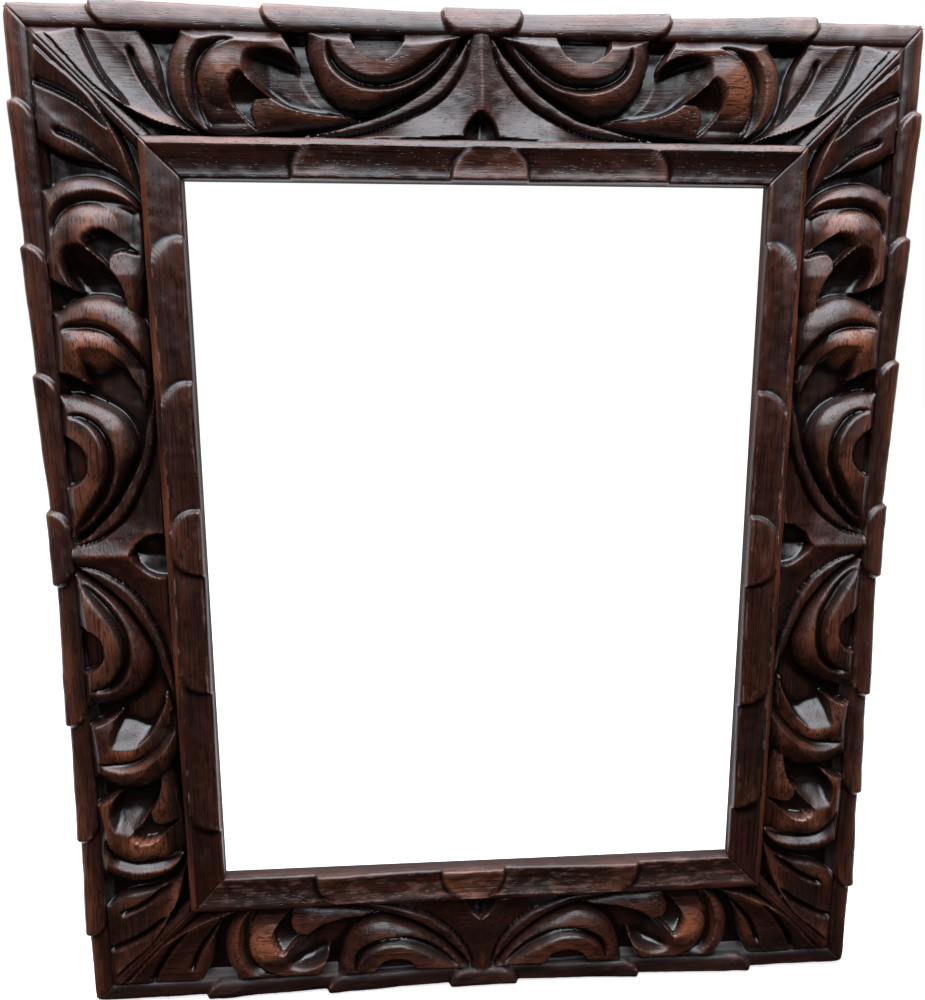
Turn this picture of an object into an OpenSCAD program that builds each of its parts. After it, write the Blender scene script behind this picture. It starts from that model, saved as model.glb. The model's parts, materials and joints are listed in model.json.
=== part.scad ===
// Carved wooden frame for a picture or a mirror, hung upright on a wall.
// Origin: middle of the opening, on the back plane of the rails. X is width,
// Z is up, and the carved front faces -Y. All sizes are in millimetres.

/* [Picture] */
// Width of the picture or glass the frame is made for
picture_w = 279.4; // [250:0.1:310]
// Height of the picture or glass the frame is made for
picture_h = 355.6; // [320:0.1:400]
// Gap left round the picture in its rebate
picture_gap = 1.5; // [0.5:0.1:3]
// How far the lip covers the rebate
rebate_w = 6.5; // [4:0.1:8]
// Thickness of the lip, from its front to the rebate
lip_depth = 8; // [6:0.1:10]

/* [Rails] */
// Width of each rail, from the opening to its outer side
rail_w = 74; // [70:0.5:80]
// Depth of each rail at the opening, from back to front
rail_depth = 19; // [17:0.1:23]
// Depth of the outer side, from the back to its rounded edge
side_depth = 8.6; // [7:0.1:10]
// Width of the lapped band round the opening
inner_band_w = 14.2; // [12:0.1:16]
// Width of the slope between that band and the carving
slope_w = 3.4; // [2.5:0.1:4]
// Width of the lapped band along the outer side
outer_band_w = 11.5; // [10:0.1:13]
// Depth of the crest of the outer band
crest_depth = 13.2; // [12:0.1:15]

/* [Carving] */
// Depth of wood left under the carving beside the opening
ground_in = 7.4; // [6.8:0.1:9]
// Depth of wood left under the carving beside the outer band
ground_out = 6.8; // [6.4:0.1:8]
// Height of the half-moon lobes above the back
moon_depth = 19; // [17.5:0.1:19.5]
// Height of the scrolls above the back
scroll_depth = 18.6; // [17:0.1:19.5]
// Height of the crest of each corner leaf above the back
leaf_depth = 17.4; // [16:0.1:18.5]
// Height of the centre spear's ridge above the back
spear_depth = 16.4; // [15:0.1:17.5]
// Width of the lobes' slope down to the outer band
shoulder_w = 5.6; // [4:0.1:7]
// Width of the carved grooves at a lobe's surface
groove_w = 5; // [3:0.1:6]
// Depth of the carved grooves
groove_d = 4.4; // [2.5:0.1:5]
// Radius of the bowl scooped out of each scroll
bowl_r = 10.4; // [8:0.2:11]
// Depth of that bowl
bowl_d = 6; // [4:0.1:7]
// Radius of the bite cut into each half-moon lobe
bite_r = 11.8; // [9:0.1:13]
// Width of the pointed notch at the foot of each centre spear
notch_w = 15.6; // [12:0.2:18]
// Height of that notch
notch_h = 13.4; // [10:0.2:16]
// How much larger that notch is on the stiles
stile_notch = 1.38; // [1:0.02:1.5]
// How far the free end of each lapped scale stands proud
scale_rise = 2.8; // [1.5:0.1:4]
// How far an outer scale's free end stands out sideways
scale_out = 1; // [0.4:0.1:2]

/* [Mitre fasteners] */
// Length of each corrugated strip across its mitre
strip_l = 25; // [20:0.5:30]
// Depth that each strip is driven in
strip_d = 7.5; // [5:0.1:8]
// Thickness of the strip
strip_t = 0.8; // [0.6:0.1:1.2]
// Height of the strip's waves to each side of its middle line
strip_wave = 1.2; // [0.8:0.1:1.6]

/* [Turn buttons] */
// Length of each turn button
button_l = 26; // [22:0.5:30]
// Width of each turn button
button_w = 10; // [8:0.5:12]
// Thickness of each turn button
button_t = 1.2; // [0.8:0.1:1.6]
// Distance from the rebate's edge to a button's screw
button_inset = 9; // [7:0.5:12]
// Height of the button screws above and below the middle of the frame
button_z = 62; // [45:1:75]
// Radius of the button screws' shanks
button_screw_r = 1.6; // [1.2:0.1:2]

/* [Hangers] */
// Height of the fold of each strap hanger above the middle of the frame
hanger_z = 122; // [105:1:135]
// Distance of the strap hangers from the rail's edge at the opening
hanger_inset = 38; // [30:1:46]
// Width of each strap
strap_w = 12; // [10:0.5:14]
// Length of the flat part of each strap
strap_l = 27; // [25:0.5:32]
// Thickness of the strap's sheet
strap_t = 1; // [0.8:0.1:1.2]
// Radius of the ring's wire
wire_r = 1.25; // [1:0.05:1.4]
// Radius of the D ring's bends beside the strap
ring_bend = 3; // [2.5:0.1:4]
// Radius of the strap screw's shank
strap_screw_r = 1.75; // [1.4:0.05:2]

/* [Hidden] */
$fn = 48;

// Derived sizes of the opening and the rails
sight_cover = rebate_w - picture_gap;
sight_w = picture_w - 2 * sight_cover;
sight_h = picture_h - 2 * sight_cover;
rebate_d = rail_depth - lip_depth;
field_in = inner_band_w + slope_w;
field_out = rail_w - outer_band_w;
// Width of the slope from the ground up to the outer band
band_slope = 2.6;
// Half the length of a rail along the opening at which its marks were laid out
design_w = 269.4;
design_h = 345.6;
// Free ends of the lapped scales from the middle of each rail, at the size
// above: outer band towards -s, outer band towards +s, then the inner band
top_marks = [[18, 97, 171], [19, 87, 156], [14, 87], [22, 87]];
bottom_marks = [[21, 89, 153], [18, 84, 149], [13, 85], [22, 87]];
left_marks = [[15, 88, 151, 205], [23, 87, 145, 206], [10, 70, 145], [23, 83, 147]];
right_marks = [[20, 92, 151, 207], [19, 84, 141, 197], [15, 77, 146], [21, 85, 144]];
// How far the lapped scales' round corners reach along the rail
outer_round = 7;
inner_round = 9;
// The half-moon lobe ends here, and the scrolls fill the rest of the half rail
moon_l = 78;
// How far each rail's last scroll reaches past the opening's corner, and for each of its
// scrolls the share of the room where it ends and the length that its outline is drawn at
top_scrolls = [5.5, [[1, 57.6]]];
bottom_scrolls = [3.6, [[1, 58]]];
left_scrolls = [2.4, [[0.467, 45.4], [1, 54.5]]];
right_scrolls = [3, [[0.467, 45.6], [1, 54.5]]];
// Half length of a D ring's bar, and the radius of its half round
ring_side_gap = 0.4;
ring_bar = strap_w / 2 + ring_side_gap;
ring_r = ring_bar + ring_bend;
// Clearances
thread_gap = 0.05;
turn_gap = 0.12;
lift_gap = 0.2;
ring_gap = 0.25;
// Screw heads and lengths
button_head_r = 3.4;
button_head_h = 1.9;
button_screw_l = 9;
strap_head_r = 3.6;
strap_head_h = 2.1;
strap_screw_l = 7.5;
screw_tip = 2.5;
button_end = 6;
strap_hole_up = 8;
wood = "#4a2a1e";
steel = "#9a9a98";
big = 900;

// Points of a smooth curve through hand-placed points, n to each span
function mix(a, b, c, d, t) =
  0.5 * ((2 * b) + (c - a) * t + (2 * a - 5 * b + 4 * c - d) * t * t
         + (3 * b - a - 3 * c + d) * t * t * t);
function smooth(p, n = 3) =
  let (last = len(p) - 1)
  concat([for (i = [0 : last - 1], k = [0 : n - 1])
            mix(p[max(i - 1, 0)], p[i], p[i + 1], p[min(i + 2, last)], k / n)],
         [p[last]]);
// Turn points measured back from a scroll's end into places along the rail
function turned(p, f, end) = [for (q = p) [end - q[0] * f, q[1]]];
function moved(p, by) = [for (q = p) [q[0] + by, q[1]]];

// A ball whose cap has this radius and rise. Its top lies at the given height.
module dome(s, v, radius, rise, top) {
  r = (radius * radius + rise * rise) / (2 * rise);
  translate([s, v, top - r]) sphere(r = r, $fn = 120);
}

// A V-shaped cut along an arc, from one heading round the centre to another.
// It is as wide as given where it is that deep.
module gouge(s, v, radius, from, turn, floor, wide = groove_w, deep = groove_d) {
  flare = 3;
  half_w = wide / 2 * flare;
  translate([s, v, 0])
    rotate([0, 0, from])
      rotate_extrude(angle = turn)
        polygon([[radius, floor], [radius + half_w, floor + deep * flare],
                 [radius - half_w, floor + deep * flare]]);
}

// Section of a rail across its width, without the carving
module rail_section() {
  lip_r = 1.6;
  band_back = rail_depth + 0.7;
  polygon(concat(
    [[rebate_w, 0], [rebate_w, rebate_d], [0, rebate_d], [0, rail_depth - lip_r]],
    [for (a = [60 : -30 : 0]) [lip_r * (1 - sin(a + 30)) , rail_depth - lip_r * (1 - cos(a))] ],
    smooth([[1.6, rail_depth], [inner_band_w * 0.5, rail_depth - 1.5],
            [inner_band_w, band_back]]),
    [[field_in - 0.6, band_back - 2.8], [field_in, band_back - 4]],
    [[field_in, ground_in], [field_out - band_slope, ground_out]],
    outer_arc(0, 0),
    [[rail_w, 0]]));
}

// The rounded front of the outer band, from the carving to the outer side
function outer_arc(rise, out) =
  smooth([[field_out, crest_depth - 1.4 + rise],
          [field_out + outer_band_w * 0.14, crest_depth - 0.3 + rise],
          [field_out + outer_band_w * 0.34, crest_depth + rise],
          [field_out + outer_band_w * 0.6, crest_depth - 0.9 + rise],
          [field_out + outer_band_w * 0.84 + out, crest_depth - 2.4 + rise],
          [rail_w + out, side_depth + rise]], 2);

// A lapped scale seen from the front: straight at its flat side, round at the
// free end. It runs from s0, under its neighbour, to its free end at s1.
module scale_outline(s0, s1, flat_v, round_v, round_l) {
  n = 5;
  tip = s1 > s0 ? 1 : -1;
  polygon(concat(
    [[s0, round_v], [s0, flat_v], [s1, flat_v]],
    [for (k = [1 : n])
       [s1 - tip * round_l * (1 - cos(90 * k / n)),
        flat_v + (round_v - flat_v) * sin(90 * k / n)]]));
}

// One scale of the outer band. Its top climbs from s0 to its free end.
module outer_scale(s0, s1) {
  l = abs(s1 - s0);
  lift = atan(scale_rise / l);
  spread = atan(scale_out / l);
  intersection() {
    translate([0, 0, 1])
      linear_extrude(height = rail_depth + scale_rise)
        scale_outline(s0, s1, rail_w + scale_out + 1, field_out, outer_round);
    translate([s0, 0, 0])
      mirror([s1 > s0 ? 0 : 1, 0, 0])
        rotate([0, -lift, spread])
          translate([-1, 0, 0])
            rotate([90, 0, 90])
              linear_extrude(height = l + 6)
                polygon(concat([[field_out - 4, 2], [field_out - 4, crest_depth - 1.4]],
                               outer_arc(0, 0), [[rail_w, 2]]));
  }
}

// One scale of the band round the opening
module inner_scale(s0, s1) {
  l = abs(s1 - s0);
  lift = atan(scale_rise / l);
  intersection() {
    translate([0, 0, rebate_d + 1])
      linear_extrude(height = lip_depth + scale_rise)
        scale_outline(s0, s1, 0, inner_band_w, inner_round);
    translate([s0, 0, 0])
      mirror([s1 > s0 ? 0 : 1, 0, 0])
        rotate([0, -lift, 0])
          translate([-1, 0, 0])
            rotate([90, 0, 90])
              linear_extrude(height = l + 6)
                polygon([[-1, 2], [-1, rail_depth - 1.6], [0, rail_depth - 0.6],
                         [1.6, rail_depth + 0.2], [inner_band_w * 0.35, rail_depth - 0.9],
                         [inner_band_w * 0.65, rail_depth - 1.1],
                         [inner_band_w, rail_depth + 0.2], [inner_band_w, 2]]);
  }
}

// The scale over the middle of a band, round at both ends and level on top
module middle_scale(a, b, outer) {
  flat_v = outer ? rail_w + scale_out : 0;
  round_v = outer ? field_out : inner_band_w;
  round_l = outer ? outer_round : inner_round;
  low = outer ? 1 : rebate_d + 1;
  intersection() {
    translate([0, 0, low])
      linear_extrude(height = rail_depth + 2 * scale_rise) {
        scale_outline(0, -a, flat_v, round_v, round_l);
        scale_outline(0, b, flat_v, round_v, round_l);
      }
    translate([-a - 1, 0, 0])
      rotate([90, 0, 90])
        linear_extrude(height = a + b + 2)
          if (outer)
            polygon(concat([[field_out, 0]], outer_arc(scale_rise, scale_out),
                           [[rail_w + scale_out, 0]]));
          else
            polygon([[0, 2], [0, rail_depth + scale_rise - 0.8],
                     [1.6, rail_depth + scale_rise],
                     [inner_band_w * 0.35, rail_depth + scale_rise - 1.1],
                     [inner_band_w * 0.65, rail_depth + scale_rise - 1.3],
                     [inner_band_w, rail_depth + scale_rise], [inner_band_w, 2]]);
  }
}

// Every lapped scale of one rail. Stretch spreads the marks along the rail.
module scales(marks, stretch) {
  middle_scale(marks[0][0], marks[1][0], true);
  middle_scale(marks[2][0], marks[3][0], false);
  for (side = [0, 1], k = [1 : len(marks[side]) - 1]) {
    way = side == 0 ? -1 : 1;
    near = k == 1 ? marks[side][0] - outer_round : marks[side][k - 1] * stretch - outer_round;
    outer_scale(way * near, way * marks[side][k] * stretch);
  }
  for (side = [2, 3], k = [1 : len(marks[side]) - 1]) {
    way = side == 2 ? -1 : 1;
    near = k == 1 ? marks[side][0] - inner_round : marks[side][k - 1] * stretch - inner_round;
    inner_scale(way * near, way * marks[side][k] * stretch);
  }
}

// Half-moon lobe beside the middle: a domed crescent, a long carved groove
// along its curve and a round bite out of its flat side
module half_moon() {
  outline = smooth([[moon_l - 0.6, field_out + 3], [moon_l - 0.3, 56], [moon_l - 2, 49],
                    [moon_l - 4.8, 42], [moon_l - 9, 36], [63, 31.8], [56.5, 29.8],
                    [50.5, 29.8], [43.8, 32.6], [35, 37], [25.3, 43.2], [14.5, 53],
                    [6.4, field_out + 0.5], [5, field_out + 3]]);
  bite_floor = 10.2;
  moon_c = 43.6;
  difference() {
    intersection() {
      translate([0, 0, 2]) linear_extrude(height = moon_depth) polygon(outline);
      dome(43, 55, 34, 12.5, moon_depth + 0.4);
    }
    gouge(moon_c, 70, 28.6, 200, 144, moon_depth - groove_d - 2);
    translate([46.4, field_out + 0.1, bite_floor]) cylinder(r = bite_r, h = 20);
  }
}

// A scroll with a hook: a domed head with a groove round it, a hook-shaped cut, a bowl
// and a long tail. End is where it stops towards the corner, f stretches its length.
module hooked_scroll(end, f) {
  outline = turned(concat(
    smooth([[8, field_out + 3], [5.6, 61], [2.6, 56.5], [0, 45], [0.6, 38.5], [2.8, 32],
            [6.6, 26], [12, 21.8], [19, 19.6], [30, 19], [42, 19.6], [51, 20.8], [69, 24.4],
            [84, 27.6]]),
    smooth([[74, 29], [66, 32], [60.5, 36.5], [56.8, 42], [55.2, 48], [53, 54],
            [46, field_out + 3]])), f, end);
  hook = turned(smooth([[31.2, 44.8], [27.8, 42.2], [26, 38], [26.8, 33.6], [29.8, 29.4],
                        [36.2, 22.2], [34.6, 29.4], [37.6, 34.8], [43, 35.2],
                        [34.6, 41.8]], 2), f, end);
  hook_floor = 9.6;
  difference() {
    intersection() {
      translate([0, 0, 2]) linear_extrude(height = scroll_depth) polygon(outline);
      union() {
        dome(end - 22 * f, 43, 26, 12.5, scroll_depth + 0.3);
        dome(end - 47 * f, 42, 38 * f, 9.5, scroll_depth - 2.2);
      }
    }
    gouge(end - 31.5 * f, 37.7, 20.9 * f, -40, 126, scroll_depth - groove_d - 2);
    bowl(end - 43.4 * f, 45);
    gouge(end - 94.7 * f, 92.5, 65, -82, 42, scroll_depth - 8.4, bowl_r * 1.3, 4);
    translate([0, 0, hook_floor]) linear_extrude(height = 20) polygon(hook);
  }
}

// The plainer second scroll of a stile: the groove runs all round its head
module plain_scroll(end, f) {
  outline = turned(concat(
    smooth([[9, field_out + 3], [6.6, 60], [3, 54.5], [0.5, 48], [0, 42], [1.2, 35.5],
            [4.8, 29], [9.4, 24.4], [16, 21], [24, 19.4], [34, 19.8], [44, 22],
            [52, 25.2]]),
    smooth([[48.6, 27.4], [46.4, 32], [45, 38], [43.6, 45], [41, 51],
            [36, field_out + 3]])), f, end);
  difference() {
    intersection() {
      translate([0, 0, 2]) linear_extrude(height = scroll_depth) polygon(outline);
      union() {
        dome(end - 20 * f, 42, 24, 12.5, scroll_depth + 0.3);
        dome(end - 34 * f, 41, 29, 10, scroll_depth - 1.6);
      }
    }
    gouge(end - 40.5 * f, 48.4, 25.6 * f, -91, 116, scroll_depth - groove_d - 2);
    bowl(end - 37 * f, 41.5);
  }
}

// The bowl scooped out of a scroll's head
module bowl(s, v) {
  r = (bowl_r * bowl_r + bowl_d * bowl_d) / (2 * bowl_d);
  rim = scroll_depth - 3;
  translate([s, v, rim - bowl_d + r]) sphere(r = r, $fn = 96);
}

// Corner leaf: a rib along the mitre, and a blade with a crest and two curved veins,
// hollowed between the crest and its outer lobe
module corner_leaf(half_l) {
  c = half_l;
  h = leaf_depth;
  blade = moved(concat(
    smooth([[70, 73], [61, 66], [53, 58.4], [48, 51.6], [42, 44.6], [35, 37.6], [28, 32.6],
            [21, 28.4], [7, 22.2], [-9, 18.6], [-18, field_in - 0.4]]),
    smooth([[-8, 20.6], [-1.6, 24.4], [3.4, 30], [6.6, 37], [9.2, 51], [12.6, 58],
            [18, 66]])), c);
  rib = moved([[68, 66], [61.2, 66], [13, 20], [13, 17], [19, 17]], c);
  rise = 2.6;
  difference() {
    union() {
      intersection() {
        translate([0, 0, 2]) linear_extrude(height = h + 6) polygon(blade);
        along_mitre(c, rise)
          polygon(concat([[-12, 2], [-12, h]],
                         smooth([[2.4, h], [8, h - 2.6], [14, h - 4.4], [22, h - 5.2],
                                 [29, h - 5.8], [35, h - 9]]),
                         [[35, 2]]));
      }
      intersection() {
        translate([0, 0, 2]) linear_extrude(height = h) polygon(rib);
        along_mitre(c, rise) polygon([[-12, 2], [-12, h - 1], [5, h - 1.6], [5, 2]]);
      }
    }
    gouge(c - 27.3, 83.8, 72, -48, 30, h - 2.8 - groove_d, groove_w * 0.7);
    gouge(c - 42.5, 76.2, 66.9, -47, 28, h - 4.6 - groove_d, groove_w * 0.7);
  }
}

// Sweep a section along the mitre at the corner c. It falls towards the opening.
module along_mitre(c, fall) {
  translate([c + 17, 17, 0])
    rotate([0, 0, 45])
      rotate([0, -fall, 0])
        translate([-30, 0, -1.6])
          rotate([90, 0, 90])
            linear_extrude(height = 120) children();
}

// Centre spear: a ridge between two long hollow flanks that run out along the
// opening, a carved line along each flank and a pointed notch at the foot
module spear(grow) {
  half = concat(
    [[0, field_out + 3]],
    smooth([[3.4, field_out + 3], [6.6, 61], [10.6, 55.6], [15, 50.8], [26, 40.8], [36, 34.4],
            [44, 30.4], [51, 28], [58.5, 26.4], [80, 22.2], [106, field_in]]),
    [[106, field_in - 1], [0, field_in - 1]]);
  flank_l = 26;
  fall = 4.6;
  flank = [for (k = [0 : 6]) [flank_l * k / 6, -fall * (1 - pow(1 - k / 6, 2))]];
  lean = 3;
  half_w = notch_w * grow / 2;
  foot = field_in - 0.6;
  arch = [for (k = [0 : 0.1 : 1]) [half_w * (1 - pow(k, 1.7)), foot + notch_h * grow * k]];
  difference() {
    intersection() {
      translate([0, 0, 2])
        linear_extrude(height = rail_depth)
          union() {
            polygon(half);
            mirror([1, 0]) polygon(half);
          }
      translate([0, 31, spear_depth])
        rotate([-lean, 0, 0])
          rotate([90, 0, 0])
            linear_extrude(height = 100, center = true)
              for (side = [0, 1])
                mirror([side, 0])
                  polygon(concat([[0, -14]], flank, [[110, -fall - 0.6], [110, -14]]));
    }
    for (side = [0, 1])
      mirror([side, 0, 0]) {
        gouge(63.2, 85, 64.4, 201, 75, spear_depth - 2 - groove_d, groove_w * 0.7);
        translate([0, 0, ground_in]) linear_extrude(height = 20) polygon(
          concat([[-0.1, foot - 3], [half_w, foot - 3]], arch, [[-0.1, foot + notch_h * grow]]));
      }
  }
}

// The whole carving of a rail: both halves, each with its scrolls
module carving(half_l, scrolls, grow) {
  room = half_l + scrolls[0] - moon_l;
  marks = scrolls[1];
  spear(grow);
  for (side = [0, 1])
    mirror([side, 0, 0]) {
      half_moon();
      corner_leaf(half_l);
      for (k = [0 : len(marks) - 1]) {
        from = k == 0 ? 0 : marks[k - 1][0];
        end = moon_l + marks[k][0] * room;
        f = (marks[k][0] - from) * room / marks[k][1];
        if (k == len(marks) - 1) hooked_scroll(end, f);
        else plain_scroll(end, f);
      }
    }
}

// The space that the carving fills, with its slope down to the outer band
module carved_field() {
  top = moon_depth + 0.5;
  translate([-big / 2, 0, 0])
    rotate([90, 0, 90])
      linear_extrude(height = big)
        polygon([[field_in - 0.5, 1], [field_in - 0.5, top], [field_out - shoulder_w, top],
                 [field_out + 0.5, top - shoulder_w - 0.5], [field_out + 0.5, 1]]);
}

// A rail in its own place: X along it, Y outwards from the opening, Z to the
// front. The blank's slanted ends are the mitres.
module rail(half_l, design, marks, scrolls, grow) {
  intersection() {
    linear_extrude(height = 60)
      polygon([[-half_l + 5, -5], [half_l - 5, -5],
               [half_l + rail_w + 10, rail_w + 10], [-half_l - rail_w - 10, rail_w + 10]]);
    union() {
      translate([-big / 2, 0, 0])
        rotate([90, 0, 90]) linear_extrude(height = big) rail_section();
      scales(marks, half_l * 2 / design);
      intersection() {
        carving(half_l, scrolls, grow);
        carved_field();
      }
    }
  }
}

// Turn a rail's own axes into the frame's: angle 0 is the top rail
module placed(angle, half_across) {
  rotate([0, angle, 0])
    translate([0, 0, half_across])
      rotate([90, 0, 0])
        children();
}

// One corrugated strip across a mitre, driven in from the back
module strip() {
  waves = 4;
  n = 5 * waves;
  line = [for (i = [0 : n]) [strip_l * (i / n - 0.5), strip_wave * sin(360 * waves * i / n)]];
  back = [for (i = [n : -1 : 0]) line[i] + [0, strip_t]];
  rotate([90, 0, 0])
    linear_extrude(height = strip_d) polygon(concat(line, back));
}

module corner_strips(sx, sz) {
  for (reach = [0.3, 0.68])
    translate([sx * (sight_w / 2 + rail_w * reach), 0, sz * (sight_h / 2 + rail_w * reach)])
      rotate([0, sx * sz * 45, 0]) strip();
}

module all_strips() {
  for (sx = [-1, 1], sz = [-1, 1]) corner_strips(sx, sz);
}

// Places of the hardware on the stiles' backs
button_x = sight_w / 2 + rebate_w + button_inset;
hanger_x = sight_w / 2 + hanger_inset;

// A hole or a screw that runs into the wood from the back
module into_wood(x, z) {
  translate([x, 0, z]) rotate([90, 0, 0]) children();
}

module screw_hole(r, l) {
  translate([0, 0, -1]) cylinder(r = r + thread_gap, h = l - screw_tip + 1);
  translate([0, 0, l - screw_tip]) cylinder(r1 = r + thread_gap, r2 = 0.3, h = screw_tip + 0.2);
}

// A round-head wood screw, its head's underside at the height lift
module screw(r, l, lift, head_r, head_h) {
  ball_r = (head_r * head_r + head_h * head_h) / (2 * head_h);
  difference() {
    union() {
      translate([0, 0, -lift - 0.1]) cylinder(r = r, h = l - screw_tip + lift + 0.1);
      translate([0, 0, l - screw_tip]) cylinder(r1 = r, r2 = 0.25, h = screw_tip - 0.2);
      intersection() {
        translate([0, 0, -lift - head_h + ball_r]) sphere(r = ball_r, $fn = 64);
        translate([0, 0, -lift - head_h - 1]) cylinder(r = head_r + 1, h = head_h + 1);
      }
    }
    translate([-head_r, -0.45, -lift - head_h - 1]) cube([2 * head_r, 0.9, 1.8]);
  }
}

module stile_holes() {
  for (sx = [-1, 1]) {
    for (sz = [-1, 1])
      into_wood(sx * button_x, sz * button_z) screw_hole(button_screw_r, button_screw_l);
    into_wood(sx * hanger_x, hanger_z - strap_l + strap_hole_up)
      screw_hole(strap_screw_r, strap_screw_l);
  }
}

// Sub-parts
module top_rail() {
  color(wood)
    difference() {
      placed(0, sight_h / 2) rail(sight_w / 2, design_w, top_marks, top_scrolls, 1);
      all_strips();
    }
}

module bottom_rail() {
  color(wood)
    difference() {
      placed(180, sight_h / 2) rail(sight_w / 2, design_w, bottom_marks, bottom_scrolls, 1);
      all_strips();
    }
}

module left_stile() {
  color(wood)
    difference() {
      placed(-90, sight_w / 2)
        rail(sight_h / 2, design_h, left_marks, left_scrolls, stile_notch);
      all_strips();
      stile_holes();
    }
}

module right_stile() {
  color(wood)
    difference() {
      placed(90, sight_w / 2)
        rail(sight_h / 2, design_h, right_marks, right_scrolls, stile_notch);
      all_strips();
      stile_holes();
    }
}

module mitre_fasteners(sx, sz) {
  color(steel) corner_strips(sx, sz);
}

// A turn button at rest, lying along its stile with its long end away from
// the middle, so that the rebate is clear
module turn_button(sx, sz) {
  color(steel)
    translate([sx * button_x, lift_gap, sz * button_z])
      rotate([-90, 0, 0])
        difference() {
          linear_extrude(height = button_t)
            difference() {
              union() {
                translate([-button_w / 2, sz > 0 ? -button_l + button_end + button_w / 2 : 0])
                  square([button_w, button_l - button_end - button_w / 2]);
                circle(r = button_w / 2);
                translate([0, -sz * (button_l - button_end - button_w / 2)])
                  circle(r = button_w / 2);
              }
              circle(r = button_screw_r + turn_gap);
            }
        }
}

module button_screw(sx, sz) {
  color(steel)
    into_wood(sx * button_x, sz * button_z)
      screw(button_screw_r, button_screw_l, button_t + 2 * lift_gap, button_head_r, button_head_h);
}

// Strap hanger: a flat strap whose upper end is rolled round the ring's bar
module hanger_strap(sx) {
  bore = wire_r + ring_gap;
  color(steel)
    translate([sx * hanger_x, 0, hanger_z])
      difference() {
        union() {
          translate([-strap_w / 2, 0, -strap_l]) cube([strap_w, strap_t, strap_l]);
          translate([-strap_w / 2, bore + strap_t, 0])
            rotate([0, 90, 0])
              rotate([0, 0, -90])
                rotate_extrude(angle = 290)
                  translate([bore, 0]) square([strap_t, strap_w]);
        }
        translate([0, -1, -strap_l + strap_hole_up])
          rotate([-90, 0, 0]) cylinder(r = strap_screw_r + 0.3, h = strap_t + 2);
      }
}

module hanger_screw(sx) {
  color(steel)
    into_wood(sx * hanger_x, hanger_z - strap_l + strap_hole_up)
      screw(strap_screw_r, strap_screw_l, strap_t, strap_head_r, strap_head_h);
}

// D ring: a straight bar through the strap's fold, two bends and a half round
module hanger_ring(sx) {
  color(steel)
    translate([sx * hanger_x, wire_r + ring_gap + strap_t, hanger_z])
      rotate([90, 0, 0]) {
        translate([-ring_bar, 0, 0]) rotate([0, 90, 0]) cylinder(r = wire_r, h = 2 * ring_bar);
        for (side = [0, 1])
          mirror([side, 0, 0])
            translate([ring_bar, -ring_bend, 0])
              rotate_extrude(angle = 90) translate([ring_bend, 0]) circle(r = wire_r, $fn = 32);
        translate([0, -ring_bend, 0])
          rotate([0, 0, 180])
            rotate_extrude(angle = 180) translate([ring_r, 0]) circle(r = wire_r, $fn = 32);
      }
}

top_rail();
bottom_rail();
left_stile();
right_stile();
mitre_fasteners(-1, 1);  // mitre_fasteners_top_left
mitre_fasteners(1, 1);  // mitre_fasteners_top_right
mitre_fasteners(-1, -1);  // mitre_fasteners_bottom_left
mitre_fasteners(1, -1);  // mitre_fasteners_bottom_right
turn_button(-1, 1);  // turn_button_upper_left
turn_button(1, 1);  // turn_button_upper_right
turn_button(-1, -1);  // turn_button_lower_left
turn_button(1, -1);  // turn_button_lower_right
button_screw(-1, 1);  // button_screw_upper_left
button_screw(1, 1);  // button_screw_upper_right
button_screw(-1, -1);  // button_screw_lower_left
button_screw(1, -1);  // button_screw_lower_right
hanger_strap(-1);  // hanger_strap_left
hanger_strap(1);  // hanger_strap_right
hanger_screw(-1);  // hanger_screw_left
hanger_screw(1);  // hanger_screw_right
hanger_ring(-1);  // hanger_ring_left
hanger_ring(1);  // hanger_ring_right
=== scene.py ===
"""A carved hardwood frame for a picture or a mirror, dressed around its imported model.

Every rail is one closed mesh. Its section runs round the rail as rows of points, and the
carving raises and cuts the rows of the front. The fittings on the back are steel and brass.
"""
import json
import math
from types import SimpleNamespace

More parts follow.
